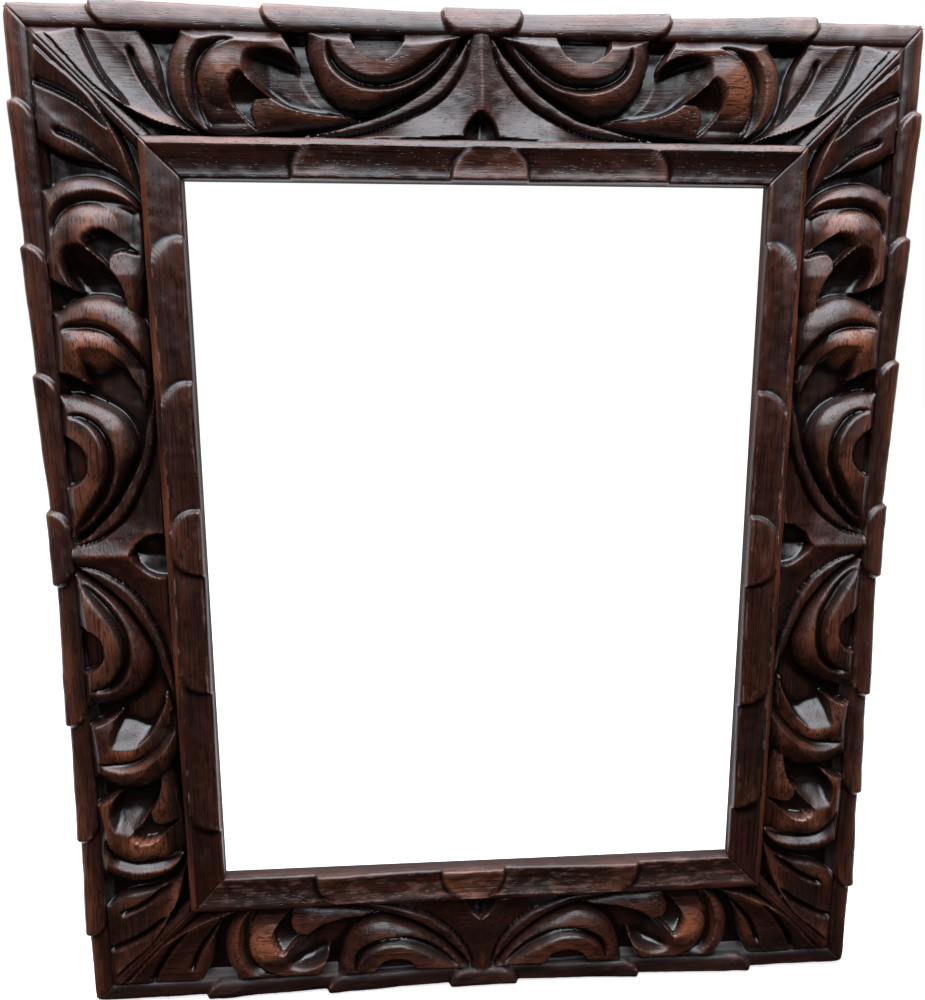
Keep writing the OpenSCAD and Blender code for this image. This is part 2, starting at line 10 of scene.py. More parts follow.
import bmesh
import bpy
import numpy as np
from mathutils import Matrix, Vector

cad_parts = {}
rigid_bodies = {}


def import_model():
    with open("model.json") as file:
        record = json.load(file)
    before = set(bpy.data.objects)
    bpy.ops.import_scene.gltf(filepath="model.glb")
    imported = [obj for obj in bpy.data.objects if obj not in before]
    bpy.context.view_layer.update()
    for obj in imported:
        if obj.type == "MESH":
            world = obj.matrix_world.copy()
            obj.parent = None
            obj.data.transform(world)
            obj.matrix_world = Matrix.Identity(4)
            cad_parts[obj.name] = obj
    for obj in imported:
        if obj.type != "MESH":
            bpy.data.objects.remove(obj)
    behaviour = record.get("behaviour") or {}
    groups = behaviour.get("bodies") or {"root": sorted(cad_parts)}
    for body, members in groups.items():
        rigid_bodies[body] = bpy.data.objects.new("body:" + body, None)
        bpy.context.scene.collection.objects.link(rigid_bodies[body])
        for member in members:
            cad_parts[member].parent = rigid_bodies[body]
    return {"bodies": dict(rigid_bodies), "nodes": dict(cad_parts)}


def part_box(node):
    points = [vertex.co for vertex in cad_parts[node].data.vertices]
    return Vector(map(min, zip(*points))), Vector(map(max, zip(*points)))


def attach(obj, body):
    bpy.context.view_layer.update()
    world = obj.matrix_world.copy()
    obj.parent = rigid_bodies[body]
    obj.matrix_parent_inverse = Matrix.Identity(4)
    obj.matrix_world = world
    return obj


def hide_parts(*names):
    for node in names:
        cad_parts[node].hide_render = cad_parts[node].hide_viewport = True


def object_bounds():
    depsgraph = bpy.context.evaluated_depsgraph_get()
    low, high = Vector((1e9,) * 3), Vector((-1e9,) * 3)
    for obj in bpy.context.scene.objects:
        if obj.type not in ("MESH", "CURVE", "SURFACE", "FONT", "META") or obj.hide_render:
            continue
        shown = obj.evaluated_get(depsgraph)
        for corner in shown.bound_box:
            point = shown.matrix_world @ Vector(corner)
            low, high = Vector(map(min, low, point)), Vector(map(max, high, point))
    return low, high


bl_info = {
    "name": "Carved Frame",
    "version": (1, 0, 0),
    "blender": (4, 5, 0),
    "location": "View3D > Sidebar > Carved Frame",
    "description": "Builds a hand-carved hardwood frame with its fittings",
    "category": "Add Mesh",
}

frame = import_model()
CAD_BOX = [[float(c) for c in corner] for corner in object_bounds()]
MM = 0.001
# Points along a rail and rows over its carved field, and the gap between the last points
# before a mitre, as a share of half the rail's length
COLUMNS, FIELD_ROWS, MITRE_GAP = 724, 84, 0.0016

# Half the opening's width and height, taken from the rails of the model
SIGHT_HALF_W = -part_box("left_stile")[1].x / MM
SIGHT_HALF_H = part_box("top_rail")[0].z / MM

# The four rails: how far each is turned about Y, half its length along the opening, how
# far the opening's edge lies from the middle, its scrolls, and half the width and the
# height of its spear's notch. A scroll has its end at the corner side, measured from the
# opening's corner, how far it is stretched along the rail, and whether it has a hook.
RAILS = {
    "top_rail": (0, SIGHT_HALF_W, SIGHT_HALF_H, ((5.5, 1.08, True),), (7.8, 13.4)),
    "bottom_rail": (180, SIGHT_HALF_W, SIGHT_HALF_H, ((3.6, 1.04, True),), (7.8, 13.4)),
    "left_stile": (-90, SIGHT_HALF_H, SIGHT_HALF_W,
                   ((2.4, 0.95, True), (-49.4, 1.0, False)), (11, 18)),
    "right_stile": (90, SIGHT_HALF_H, SIGHT_HALF_W,
                    ((3.0, 0.95, True), (-49.0, 1.0, False)), (10.4, 17)),
}

# Free ends of the lapped scales, in millimetres from the middle of each rail: the outer
# band to one side and to the other, then the inner band the same way
LAPS = {
    "top_rail": ((18, 97, 171), (19, 87, 156), (14, 87), (22, 87)),
    "bottom_rail": ((21, 89, 153), (18, 84, 149), (13, 85), (22, 87)),
    "left_stile": ((15, 88, 151, 205), (23, 87, 145, 206), (10, 70, 145), (23, 83, 147)),
    "right_stile": ((20, 92, 151, 207), (19, 84, 141, 197), (15, 77, 146), (21, 85, 144)),
}

# Outlines of the carving in millimetres: along the rail from its middle, and out from
# the opening's edge
HALF_MOON = (
    (77.4, 66), (77.7, 56), (76, 49), (73.2, 42), (69, 36), (63, 31.8), (56.5, 29.8),
    (50.5, 29.8), (43.8, 32.6), (35, 37), (25.3, 43.2), (19.5, 48), (14.5, 53), (10.2, 58),
    (6.4, 63), (5, 66),
)
HALF_MOON_GROOVE = (
    (67.8, 58.6), (67.2, 53.4), (64.8, 48.6), (60.6, 44.8), (54.5, 42), (48, 41.2),
    (42, 41.8), (36, 43.8), (30.2, 46.8), (25.2, 50), (19.5, 54.4), (13.5, 59.6),
)
# Middle and radius of the round bite out of a half-moon's top, and where the lobes start
# to slope down to the outer band
BITE, SHOULDER = (46.4, 62.6, 11.8), 56.8
SPEAR_EDGE = (
    (3.4, 66), (6.6, 61), (10.6, 55.6), (15, 50.8), (20, 45.8), (26, 40.8), (36, 34.4),
    (44, 30.4), (51, 28), (58.5, 26), (69.5, 22.8), (80, 20.8), (92, 19.2), (106, 17.8),
)
SPEAR_LINE = (
    (4.5, 62), (7.4, 52), (10.4, 46.8), (13.5, 42.8), (17, 39), (21.5, 35.6), (26.5, 32.4),
    (33.4, 29.2), (40.6, 26), (49.5, 22.8), (58.5, 21), (70, 19.6), (92, 18),
)

# Outlines of a scroll: back from its end at the corner, and out from the opening's edge
HOOKED_SCROLL = {
    "ball": (27, 46),
    "outer": (
        (8, 66), (5.6, 61), (2.6, 56.5), (0.6, 51), (0, 45), (0.6, 38.5), (2.8, 32),
        (6.6, 26), (12, 21.8), (19, 19.6), (30, 19), (42, 19.6), (51, 20.8), (60, 22.2),
        (69, 24.4), (76, 26.2), (84, 27.6),
    ),
    "inner": (
        (84, 27.6), (74, 29), (66, 32), (60.5, 36.5), (56.8, 42), (55.2, 48), (53, 54),
        (49.6, 60), (46, 66),
    ),
    "groove": (
        (30, 58), (23.8, 57), (18.6, 54.8), (14.6, 51.2), (12.4, 46), (11.6, 40),
        (11.8, 34), (12.8, 28.4), (15, 23.6),
    ),
    "bowl": (
        (32.1, 44.4), (32.2, 50), (34.6, 53.8), (41, 55.2), (46, 54.4), (50.6, 52.4),
        (55, 50), (61, 44), (67, 36.4), (76, 30.4), (84, 29), (73, 28.6), (64, 28.3),
        (55, 29.2), (48, 31.4), (42.8, 34.8), (38, 38.8), (34.4, 42),
    ),
    "hook": (
        (31.2, 44.8), (27.8, 42.2), (26, 38), (26.8, 33.6), (29.8, 29.4), (32.8, 25.8),
        (36.2, 22.2), (35.4, 26), (34.6, 29.4), (35.4, 32.6), (37.6, 34.8), (43, 35.2),
        (38.4, 38.6), (34.6, 41.8),
    ),
}
PLAIN_SCROLL = {
    "ball": (28, 50),
    "outer": (
        (9, 66), (6.6, 60), (3, 54.5), (0.5, 48), (0, 42), (1.2, 35.5), (4.8, 29),
        (9.4, 24.4), (16, 21), (24, 19.4), (34, 19.8), (44, 22), (52, 25.2),
    ),
    "inner": (
        (52, 25.2), (48.6, 27.4), (46.4, 32), (45, 38), (43.6, 45), (41, 51), (38, 57),
        (36, 66),
    ),
    "groove": (
        (17.4, 59), (15.6, 55), (15, 50), (15.2, 44.4), (16.6, 39), (19, 34.4), (22, 30.8),
        (25.6, 27.8), (30, 25), (35, 23.2), (41, 22.8),
    ),
    "bowl": (
        (24.4, 40), (24, 45), (24.6, 50), (27, 51.8), (33, 51.4), (38.4, 50.2), (43, 48),
        (49, 44), (54, 38), (56, 31), (50, 25.6), (44, 26.2), (38, 29.2), (31.6, 32.6),
        (27.4, 36.2),
    ),
}

# Outlines of a corner leaf: along the rail from the opening's corner, and out from its edge
LEAF_CREST = (
    (72, 73.6), (62.4, 65.6), (54, 58), (48, 51.6), (42, 44.6), (35, 37.6), (28, 32.6),
    (21, 28.4), (14, 24.8), (7, 22.2), (-1, 20.4), (-9, 18.6), (-18, 17.2),
)
LEAF_LOBE = (
    (-18, 17.2), (-8, 20.6), (-1.6, 24.4), (3.4, 30), (6.6, 37), (8, 44), (9.2, 51),
    (12.6, 58), (18, 66),
)
LEAF_VEINS = (
    ((41, 61), (40, 58), (37.3, 52), (34.3, 46.6), (31.4, 42), (28, 37.6), (24.6, 34),
     (20.6, 30)),
    ((20.6, 54), (18.6, 48.6), (16.2, 43.6), (13.6, 39.6), (10.4, 35.6), (7.2, 31.4),
     (3.4, 27.2)),
)


def length(name, description, millimetres):
    return bpy.props.FloatProperty(
        name=name, description=description, default=millimetres * MM, unit="LENGTH")


def hex_colour(name, description, value):
    return bpy.props.FloatVectorProperty(
        name=name, description=description, default=linear(value), size=4, min=0, max=1,
        subtype="COLOR")


def linear(value):
    """An sRGB colour written in hex, as linear red, green, blue and alpha."""
    parts = [int(value[i:i + 2], 16) / 255 for i in (1, 3, 5)]
    return tuple(p / 12.92 if p <= 0.04045 else ((p + 0.055) / 1.055) ** 2.4
                 for p in parts) + (1.0,)


class FrameSizes(bpy.types.PropertyGroup):
    """Sizes of the rails and their carving."""
    rail_w: length("Rail width", "From the opening to the outer side", 74)
    rail_depth: length("Rail depth", "From the back to the lip at the opening", 19)
    side_depth: length("Side depth", "From the back to the rounded outer edge", 8.6)
    rebate_w: length("Rebate width", "How far the lip covers the picture", 6.5)
    lip_depth: length("Lip depth", "Thickness of the lip over the rebate", 8)
    inner_band_w: length("Inner band width", "Lapped band round the opening", 14.2)
    slope_w: length("Slope width", "Slope between the inner band and the carving", 3.4)
    outer_band_w: length("Outer band width", "Lapped band along the outer side", 11.5)
    crest_depth: length("Crest depth", "From the back to the crest of the outer band", 13.2)
    ground_in: length("Inner ground", "Depth of wood under the carving, inside", 7.4)
    ground_out: length("Outer ground", "Depth of wood under the carving, outside", 6.8)
    moon_depth: length("Half-moon depth", "From the back to the top of the half-moons", 19)
    scroll_depth: length("Scroll depth", "From the back to the top of the scrolls", 18.6)
    leaf_depth: length("Leaf depth", "From the back to the rib of the corner leaves", 17.4)
    spear_depth: length("Spear depth", "From the back to the ridge of the spears", 16.4)
    groove_w: length("Groove width", "Width of the carved grooves", 5)
    groove_d: length("Groove depth", "Depth of the carved grooves", 4.4)
    scale_rise: length("Scale rise", "How far a scale's free end stands proud", 2.8)
    scale_out: length("Scale overhang", "How far an outer scale stands out sideways", 1)
    unevenness: length("Unevenness", "How far hand carving strays from the lines", 0.35)


class FrameColours(bpy.types.PropertyGroup):
    """Colours of the stained wood and of the metal fittings."""
    dark: hex_colour("Dark stain", "Stain in the quiet parts of the wood", "#1e100b")
    red: hex_colour("Red stain", "Stain in the redder streaks", "#451f14")
    rubbed: hex_colour("Rubbed wood", "Proud parts, handled down to the wood", "#7c4730")
    # The worn colour is worn edges, and also a painted sheen on the bottom rail's inner
    # band
    worn: hex_colour("Worn edges and sheen", "Edges where the stain has worn off, and a painted sheen", "#9c7468")
    # The deep colour is stain gathered in the cuts, and painted shade there, on the
    # opening's walls and along the edge the frame stands on
    deep: hex_colour("Deep stain and shade", "Stain gathered in the cuts, and painted shade", "#070302")
    pore: hex_colour("Pores", "Stain gathered in the open pores", "#0d0605")
    steel: hex_colour("Zinc", "Zinc plating of the steel fittings", "#b4b6b8")
    brass: hex_colour("Brass", "Brass plating of the turn buttons", "#9a7c48")
    dull_steel: hex_colour("Dull steel", "Bare strips across the mitres", "#8c8a86")


# Meshes and objects

def mesh_of(name, points, faces):
    mesh = bpy.data.meshes.new(name)
    mesh.from_pydata(points, [], faces)
    return mesh


def put(name, data):
    """A new object in the scene."""
    piece = bpy.data.objects.new(name, data)
    bpy.context.scene.collection.objects.link(piece)
    return piece


def stretched_over(name, rows, closed=True):
    """A mesh over rows of points. A closed one joins the ends of each row, and caps the
    first row and the last."""
    n = len(rows[0])
    faces = [(i * n + j, i * n + (j + 1) % n, (i + 1) * n + (j + 1) % n, (i + 1) * n + j)
             for i in range(len(rows) - 1) for j in range(n if closed else n - 1)]
    if closed:
        last = (len(rows) - 1) * n
        faces += [tuple(range(n))[::-1], tuple(range(last, last + n))]
    return mesh_of(name, [point for row in rows for point in row], faces)


def shade(mesh, degrees):
    """Smooth shading with sharp edges where the surface turns by more than that."""
    mesh.polygons.foreach_set("use_smooth", np.ones(len(mesh.polygons), bool))
    mesh.set_sharp_from_angle(angle=math.radians(degrees))
    mesh.update()


# Curves and fields of the carving

def smooth_line(points, closed=False, per_span=6):
    """Points of a smooth curve through given points."""
    p = np.array(points, float)
    n = len(p)
    spans = n if closed else n - 1
    k = np.linspace(0, 1, per_span, endpoint=False)[:, None]
    line = []
    for i in range(spans):
        a, b, c, d = (p[j % n if closed else min(max(j, 0), n - 1)]
                      for j in range(i - 1, i + 3))
        line.append(0.5 * (2 * b + (c - a) * k + (2 * a - 5 * b + 4 * c - d) * k * k
                           + (3 * b - a - 3 * c + d) * k ** 3))
    if not closed:
        line.append(p[-1:])
    return np.vstack(line)


def near(s, v, line):
    """Each point's distance from a line, how far along the line it is, and its side."""
    best = np.full(s.shape, np.inf)
    share = np.zeros(s.shape)
    side = np.zeros(s.shape)
    steps = np.hypot(*np.diff(line, axis=0).T)
    gone = np.concatenate(([0], np.cumsum(steps)))
    for a, b, step, start in zip(line[:-1], line[1:], steps, gone):
        ds, dv = b - a
        k = np.clip(((s - a[0]) * ds + (v - a[1]) * dv) / step ** 2, 0, 1)
        off_s, off_v = s - a[0] - k * ds, v - a[1] - k * dv
        gap = np.hypot(off_s, off_v)
        closer = gap < best
        best = np.where(closer, gap, best)
        share = np.where(closer, (start + k * step) / gone[-1], share)
        side = np.where(closer, np.sign(ds * off_v - dv * off_s), side)
    return best, share, side


def around(s, v, line, reach):
    """Where points lie close enough to a line for it to matter."""
    low, high = line.min(0) - reach, line.max(0) + reach
    return (s > low[0]) & (s < high[0]) & (v > low[1]) & (v < high[1])


def depth_inside(s, v, ring):
    """How deep each point lies inside a closed outline, less than 0 outside it."""
    result = np.full(s.shape, -9.0)
    pick = around(s, v, ring, 2)
    ps, pv = s[pick], v[pick]
    closed = np.vstack((ring, ring[:1]))
    odd = np.zeros(ps.shape, bool)
    for a, b in zip(closed[:-1], closed[1:]):
        spans = (a[1] > pv) != (b[1] > pv)
        rise = b[1] - a[1] if b[1] != a[1] else 1e-9
        odd ^= spans & (ps < a[0] + (pv - a[1]) * (b[0] - a[0]) / rise)
    gap = near(ps, pv, closed)[0]
    result[pick] = np.where(odd, gap, -gap)
    return result


def ramp(x, start, end):
    """An even slope from 0 at start to 1 at end, and level beyond them."""
    return np.clip((x - start) / (end - start), 0, 1)


def rounded(depth, width):
    """A quarter-round edge, with a short bevel at its foot: 0 at the outline, 1 from that
    width inwards."""
    k = ramp(depth, width, 0)
    return np.sqrt(np.clip(1 - k * k, 0, 1)) * ramp(depth, 0, 0.8)


def roll_up(depth, width, wall=0.12):
    """A lobe's side: a short upright wall at the outline, then a round roll over which the
    lobe still rises a little to its middle."""
    roll = 0.6 * rounded(depth, width * 0.8) + 0.4 * rounded(depth, width * 1.5)
    return wall * rounded(depth, 1.2) + (1 - wall) * roll


def lobe_height(ground, top, *shares):
    """The height at the least of several shares of the way from the ground to the top."""
    return ground + (top - ground) * np.minimum.reduce(shares)


def groove(s, v, line, width, depth, left=0.5, blunt_start=0, blunt_end=0):
    """Depth of a groove along a line. It tapers to a point at both ends, and left is the
    share of its width that lies on the line's left."""
    cut = np.zeros(s.shape)
    pick = around(s, v, line, width)
    gap, share, side = near(s[pick], v[pick], line)
    first = np.clip(share / 0.3 + blunt_start, 0, 1)
    last = np.clip((1 - share) / 0.3 + blunt_end, 0, 1)
    taper = np.sqrt(np.clip(np.sin(first * math.pi / 2) * np.sin(last * math.pi / 2), 0, 1))
    half = np.maximum(width * taper * np.where(side > 0, left, 1 - left), 0.01)
    cut[pick] = depth * taper * (1 - ramp(gap, 0, half) ** 1.3)
    return cut


def wander(s, v, size, seed):
    """Smooth random numbers from -1 to 1, one hill to each size by size square."""
    table = np.random.default_rng(seed).uniform(-1, 1, (64, 64))
    i, j = np.floor(s / size).astype(int), np.floor(v / size).astype(int)
    x, y = s / size - i, v / size - j
    x, y = x * x * (3 - 2 * x), y * y * (3 - 2 * y)
    a, b = table[i % 64, j % 64], table[(i + 1) % 64, j % 64]
    c, d = table[i % 64, (j + 1) % 64], table[(i + 1) % 64, (j + 1) % 64]
    return (a * (1 - x) + b * x) * (1 - y) + (c * (1 - x) + d * x) * y


# Motifs of the carving. Each takes points of the front and their height above the back,
# and gives the height with the motif on it.

def half_moon(s, v, z):
    """A domed lobe beside the middle, with a long groove and a bite out of its top."""
    middle, dome, roll_w, bite_floor = 40, 0.0016, 13.5, 10.2
    curve = smooth_line(HALF_MOON)
    body = depth_inside(s, v, curve)
    top = z.moon_depth - dome * (s - middle) ** 2
    lobe = lobe_height(z.ground, top, roll_up(near(s, v, curve)[0], roll_w))
    lobe = np.minimum(lobe, shoulder(v, z.moon_depth))
    line = smooth_line(HALF_MOON_GROOVE)
    lobe -= groove(s, v, line, z.groove_w + 0.6, z.groove_d, 0.6)
    lobe = np.where(bite(s, v) > 0, np.minimum(lobe, bite_floor), lobe)
    return np.where(body > 0, np.maximum(z.ground, lobe), z.ground)


def bite(s, v):
    """How deep each point lies in the round bite out of a half-moon's top."""
    middle_s, middle_v, radius = BITE
    return radius - np.hypot(np.abs(s) - middle_s, v - middle_v)


def shoulder(v, top):
    """The lobes' slope down to the outer band."""
    return top - np.clip(v - SHOULDER, 0, None)


def scroll(s, v, z, end, stretch, hooked):
    """A scroll: a broad roll with a groove, a crest, and a bowl scooped between its rim
    and its tail down to the next lobe."""
    shape = HOOKED_SCROLL if hooked else PLAIN_SCROLL

    def turned(key, closed=False):
        line = smooth_line(shape[key], closed)
        return np.column_stack((end - line[:, 0] * stretch, line[:, 1]))

    outer = turned("outer")
    body = depth_inside(s, v, np.vstack((outer, turned("inner")[1:])))
    pick = body > 0
    ps, pv, body, ground = s[pick], v[pick], body[pick], z.ground[pick]
    u = (end - ps) / stretch
    # The scroll drops to the end of its tail
    tail, tail_drop, roll_w = shape["inner"][0][0], 6.4, 15
    top = z.scroll_depth - tail_drop * ramp(u, 0.4 * tail, tail) ** 1.3
    rim = near(ps, pv, outer)[0]
    lobe = lobe_height(ground, top, roll_up(rim, roll_w), rounded(body, 1.6))
    lobe = np.minimum(lobe, shoulder(pv, z.scroll_depth))
    line = turned("groove")
    gap, _, side = near(ps, pv, line)
    # Inside its groove the head is a ball, which fades towards both bands
    ball_u, ball_v = shape["ball"]
    ball_curve, ball_drop, groove_drop = 0.017, 4.4, 2.4
    ball = np.where(side < 0, ramp(u, ball_u + 19, ball_u + 5), 0) * ramp(gap, 0, 2.2)
    ball *= ramp(pv, 57.5, 51.5) * ramp(pv, 19, 25)
    lobe -= ball * groove_drop * (1 - rounded(gap, 8))
    fall = ball_curve * ((u - ball_u) ** 2 + (pv - ball_v) ** 2)
    lobe -= ball * np.clip(fall, 0, ball_drop)
    lobe -= groove(ps, pv, line, z.groove_w, z.groove_d, 0.6, blunt_end=0.2)
    # The bowl is deepest a little way behind the head
    bowl, bowl_depth = depth_inside(ps, pv, turned("bowl", True)), 9
    first = min(point[0] for point in shape["bowl"])
    fall = 1 + bowl_depth * ramp(u, first, first + (14 if hooked else 18)) ** 0.9
    fall *= 1 - 0.5 * ramp(u, first + 18, first + 44)
    lobe -= np.where(bowl > 0, fall * rounded(bowl, 4.5), 0)
    if hooked:
        hook = depth_inside(ps, pv, turned("hook", True))
        hook_floor = 9.4 + 5 * ramp(pv, 34, 44) ** 2
        lobe = np.where(hook > 0, np.minimum(lobe, hook_floor), lobe)
    t = z.ground.copy()
    t[pick] = np.maximum(ground, lobe)
    return t


def corner_leaf(s, v, z, half_l):
    """A corner leaf: a rib along the mitre, and a scooped blade with a crest and two veins
    that rolls down to its lobe."""
    place = np.array((half_l, 0))
    crest, lobe = smooth_line(LEAF_CREST) + place, smooth_line(LEAF_LOBE) + place
    body = depth_inside(s, v, np.vstack((crest, lobe[1:])))
    along, across = (s - half_l + v) / math.sqrt(2), (half_l + v - s) / math.sqrt(2)
    scoop, scoop_w, end_drop, vein_w, vein_d = 5.4, 19, 2.4, 3.6, 3.4
    reach = ramp(near(s, v, crest)[0], 0, scoop_w)
    top = z.leaf_depth - end_drop * ramp(along, 40, 0) ** 2
    top += 1.6 * reach ** 3 - scoop * np.sin(reach * math.pi / 2)
    limit = shoulder(v - 1.4, z.leaf_depth - 0.6)
    rim = near(s, v, lobe)[0]
    blade = lobe_height(z.ground, top, roll_up(rim, 7, 0.3), rounded(body, 0.9))
    blade = np.minimum(blade, limit)
    for line in LEAF_VEINS:
        line = smooth_line(line) + place
        blade -= groove(s, v, line, vein_w, vein_d, 0.4, blunt_start=0.6)
    t = np.where(body > 0, np.maximum(z.ground, blade), z.ground)
    # The rib hides under the crest, and is lower and wider towards the opening
    inside = ramp(along, 50, 0)
    rib = np.minimum(z.leaf_depth - 0.9 - 0.12 * across ** 2 - 1.4 * inside, limit)
    on_rib = (across > -3) & (across < 3.4 + 1.6 * inside) & (along > 22)
    return np.where(on_rib, np.maximum(t, rib), t)


def spear(s, v, z, notch):
    """The spear in the middle: a ridge, two hollow flanks and a pointed notch."""
    edge, line = smooth_line(SPEAR_EDGE), smooth_line(SPEAR_LINE)
    body = depth_inside(s, v, np.vstack((edge, [[106, 17.2], [-1, 17.2], [-1, 66]])))
    line_v = np.interp(s, *line.T)
    # The flanks are hollow between the ridge and the foot, and a ribbon runs beside them
    low, ribbon_rise, ribbon_roll = 10.2, 1.9, 1.2
    rise = z.spear_depth - low
    ridge = ramp(s, 26, 0) ** 2
    foot = ramp(v, np.maximum(line_v, 20), 18.5) ** 1.4
    foot *= ramp(s, 3, 11) * ramp(s, 110, 50)
    blade = low + rise * np.sqrt(ridge ** 2 + (0.85 * foot) ** 2)
    ribbon = low + ribbon_rise + (rise - ribbon_rise) * ridge
    ribbon -= ribbon_roll * (1 - rounded(near(s, v, edge)[0], 3))
    top = lobe_height(z.ground, np.where(v > line_v, ribbon, blade), rounded(body, 1.2))
    top -= groove(s, v, line, 2.8, 2, 0.5, blunt_start=0.4)
    # A narrow gap under the foot, beside the notch
    gap_v = 19.8 - 2.2 * ramp(s, 0, 38)
    gap = ramp(v, gap_v + 0.45, gap_v - 0.45) * ramp(s, 38, 28)
    top += gap * (z.ground_in + 1 - top)
    notch_w, notch_h = notch
    height = ramp(v, 17.6, 17.6 + notch_h)
    half = np.maximum(notch_w * (1 - height ** 2.6) ** 0.75, 0.01)
    floor = z.ground_in + 0.3 + 3.4 * ramp(s, 0, half)
    top = np.where((s < half) & (height < 1), np.minimum(top, floor), top)
    return np.where(body > 0, np.maximum(z.ground, top), z.ground)


def carve(s, v, z, half_l, scrolls, notch):
    """Height of the carved field above the back: the highest of all the motifs."""
    s = np.abs(s)
    parts = [spear(s, v, z, notch), half_moon(s, v, z), corner_leaf(s, v, z, half_l)]
    parts += [scroll(s, v, z, half_l + end, stretch, hooked)
              for end, stretch, hooked in scrolls]
    return np.maximum.reduce(parts)


def lap_rise(s, flat, marks, round_l, band_w):
    """Rise of the lapped scales, from 0 to 1. Flat is 0 at a band's flat side and 1 at
    the side where the free ends are round."""
    rise = np.zeros(s.shape)
    bend = round_l * np.clip(flat, 0, 1) ** 3.2
    slant = np.hypot(1, 3.2 * round_l / band_w * np.clip(flat, 0, 1) ** 2.2)
    for way, ends in zip((-1, 1), marks):
        place = s * way
        for k in reversed(range(len(ends))):
            edge = rounded((ends[k] - bend - place) / slant, 1.3)
            level = ramp(place, ends[k - 1] - round_l, ends[k]) if k else 1
            rise = np.where(place > 0, rise * (1 - edge) + level * edge, rise)
    return rise


def rail_section(z):
    """Rows of points round a rail: place out from the opening, height above the back, and
    which part of the rail each row belongs to."""
    w, crest, lip_r, hollow = z.rail_w, z.crest_depth, 1.6, 1.5
    rebate_d, lip, band_back = z.rail_depth - np.array((z.lip_depth, 2.2, -0.7))
    field_in, field_out = z.inner_band_w + z.slope_w, w - z.outer_band_w
    rows = [(z.rebate_w, 0.4, "back"), (z.rebate_w, rebate_d, "back"),
            (0, rebate_d, "back"), (0, rebate_d + 0.5 * (lip - lip_r - rebate_d), "sight")]
    rows += [(lip_r * (1 - math.cos(a)), lip - lip_r + lip_r * math.sin(a), "inner")
             for a in np.radians(np.linspace(0, 80, 5))]
    # The inner band is hollow across, and rises from the lip to its edge above the slope
    for v in np.linspace(lip_r + 0.9, z.inner_band_w - 0.15, 13):
        share = v / z.inner_band_w
        rows.append((v, lip + (band_back - lip) * share
                     - hollow * math.sin(share * math.pi), "inner"))
    slope = smooth_line(((0, 0.1), (0.26, 0.4), (0.6, 1.0), (0.86, 1.6), (1, 2.2)),
                        per_span=2)
    rows += [(z.inner_band_w + a * z.slope_w, band_back - h, "slope") for a, h in slope]
    # The ground, which slopes up to the outer band
    band_slope, band_foot = 2.6, crest - 1.4
    for v in np.linspace(field_in + 0.15, field_out - 0.15, FIELD_ROWS):
        share = (v - field_in) / (field_out - field_in)
        ground = z.ground_in + (z.ground_out - z.ground_in) * share
        up = ramp(v, field_out - band_slope, field_out)
        down = ramp(v, field_in + 1.1, field_in)
        rows.append((v, ground + (band_foot - ground) * up
                     + (band_back - 2.6 - ground) * down, "field"))
    arc = smooth_line([(0, crest - 1.2), (0.1, crest - 0.2), (0.3, crest),
                       (0.62, crest - 0.9), (0.88, crest - 2.2), (1, z.side_depth)],
                      per_span=3)
    rows += [(field_out + a * z.outer_band_w, h, "outer") for a, h in arc]
    rows += [(w, z.side_depth * 0.55, "side"), (w, 2, "side"), (w - 0.2, 0.3, "back"),
             (w - 0.8, 0, "back"), (z.rebate_w + 0.4, 0, "back")]
    return [np.array(column) for column in zip(*rows)]


def box_blur(grid, reach):
    """Mean of a grid of points over a square window."""
    for axis in (0, 1):
        padded = np.pad(grid, [(reach + 1, reach) if a == axis else (0, 0)
                               for a in range(grid.ndim)], mode="edge")
        total = np.cumsum(padded, axis=axis)
        n = grid.shape[axis]
        high = np.take(total, np.arange(2 * reach + 1, 2 * reach + 1 + n), axis=axis)
        low = np.take(total, np.arange(n), axis=axis)
        grid = (high - low) / (2 * reach + 1)
    return grid


def soften(grid):
    """Steps with the sharpness of a knife, and not of the grid."""
    return 0.25 * grid + 0.75 * box_blur(grid, 1)


def hollowness(points, reach):
    """How far the surface near each point lies in front of it, in millimetres. Reach is
    counted in points of the grid."""
    along = np.gradient(points, axis=1)
    across = np.gradient(points, axis=0)
    normal = np.cross(along, across)
    normal /= np.maximum(np.linalg.norm(normal, axis=2, keepdims=True), 1e-9)
    return ((box_blur(points, reach) - points) * normal).sum(2)


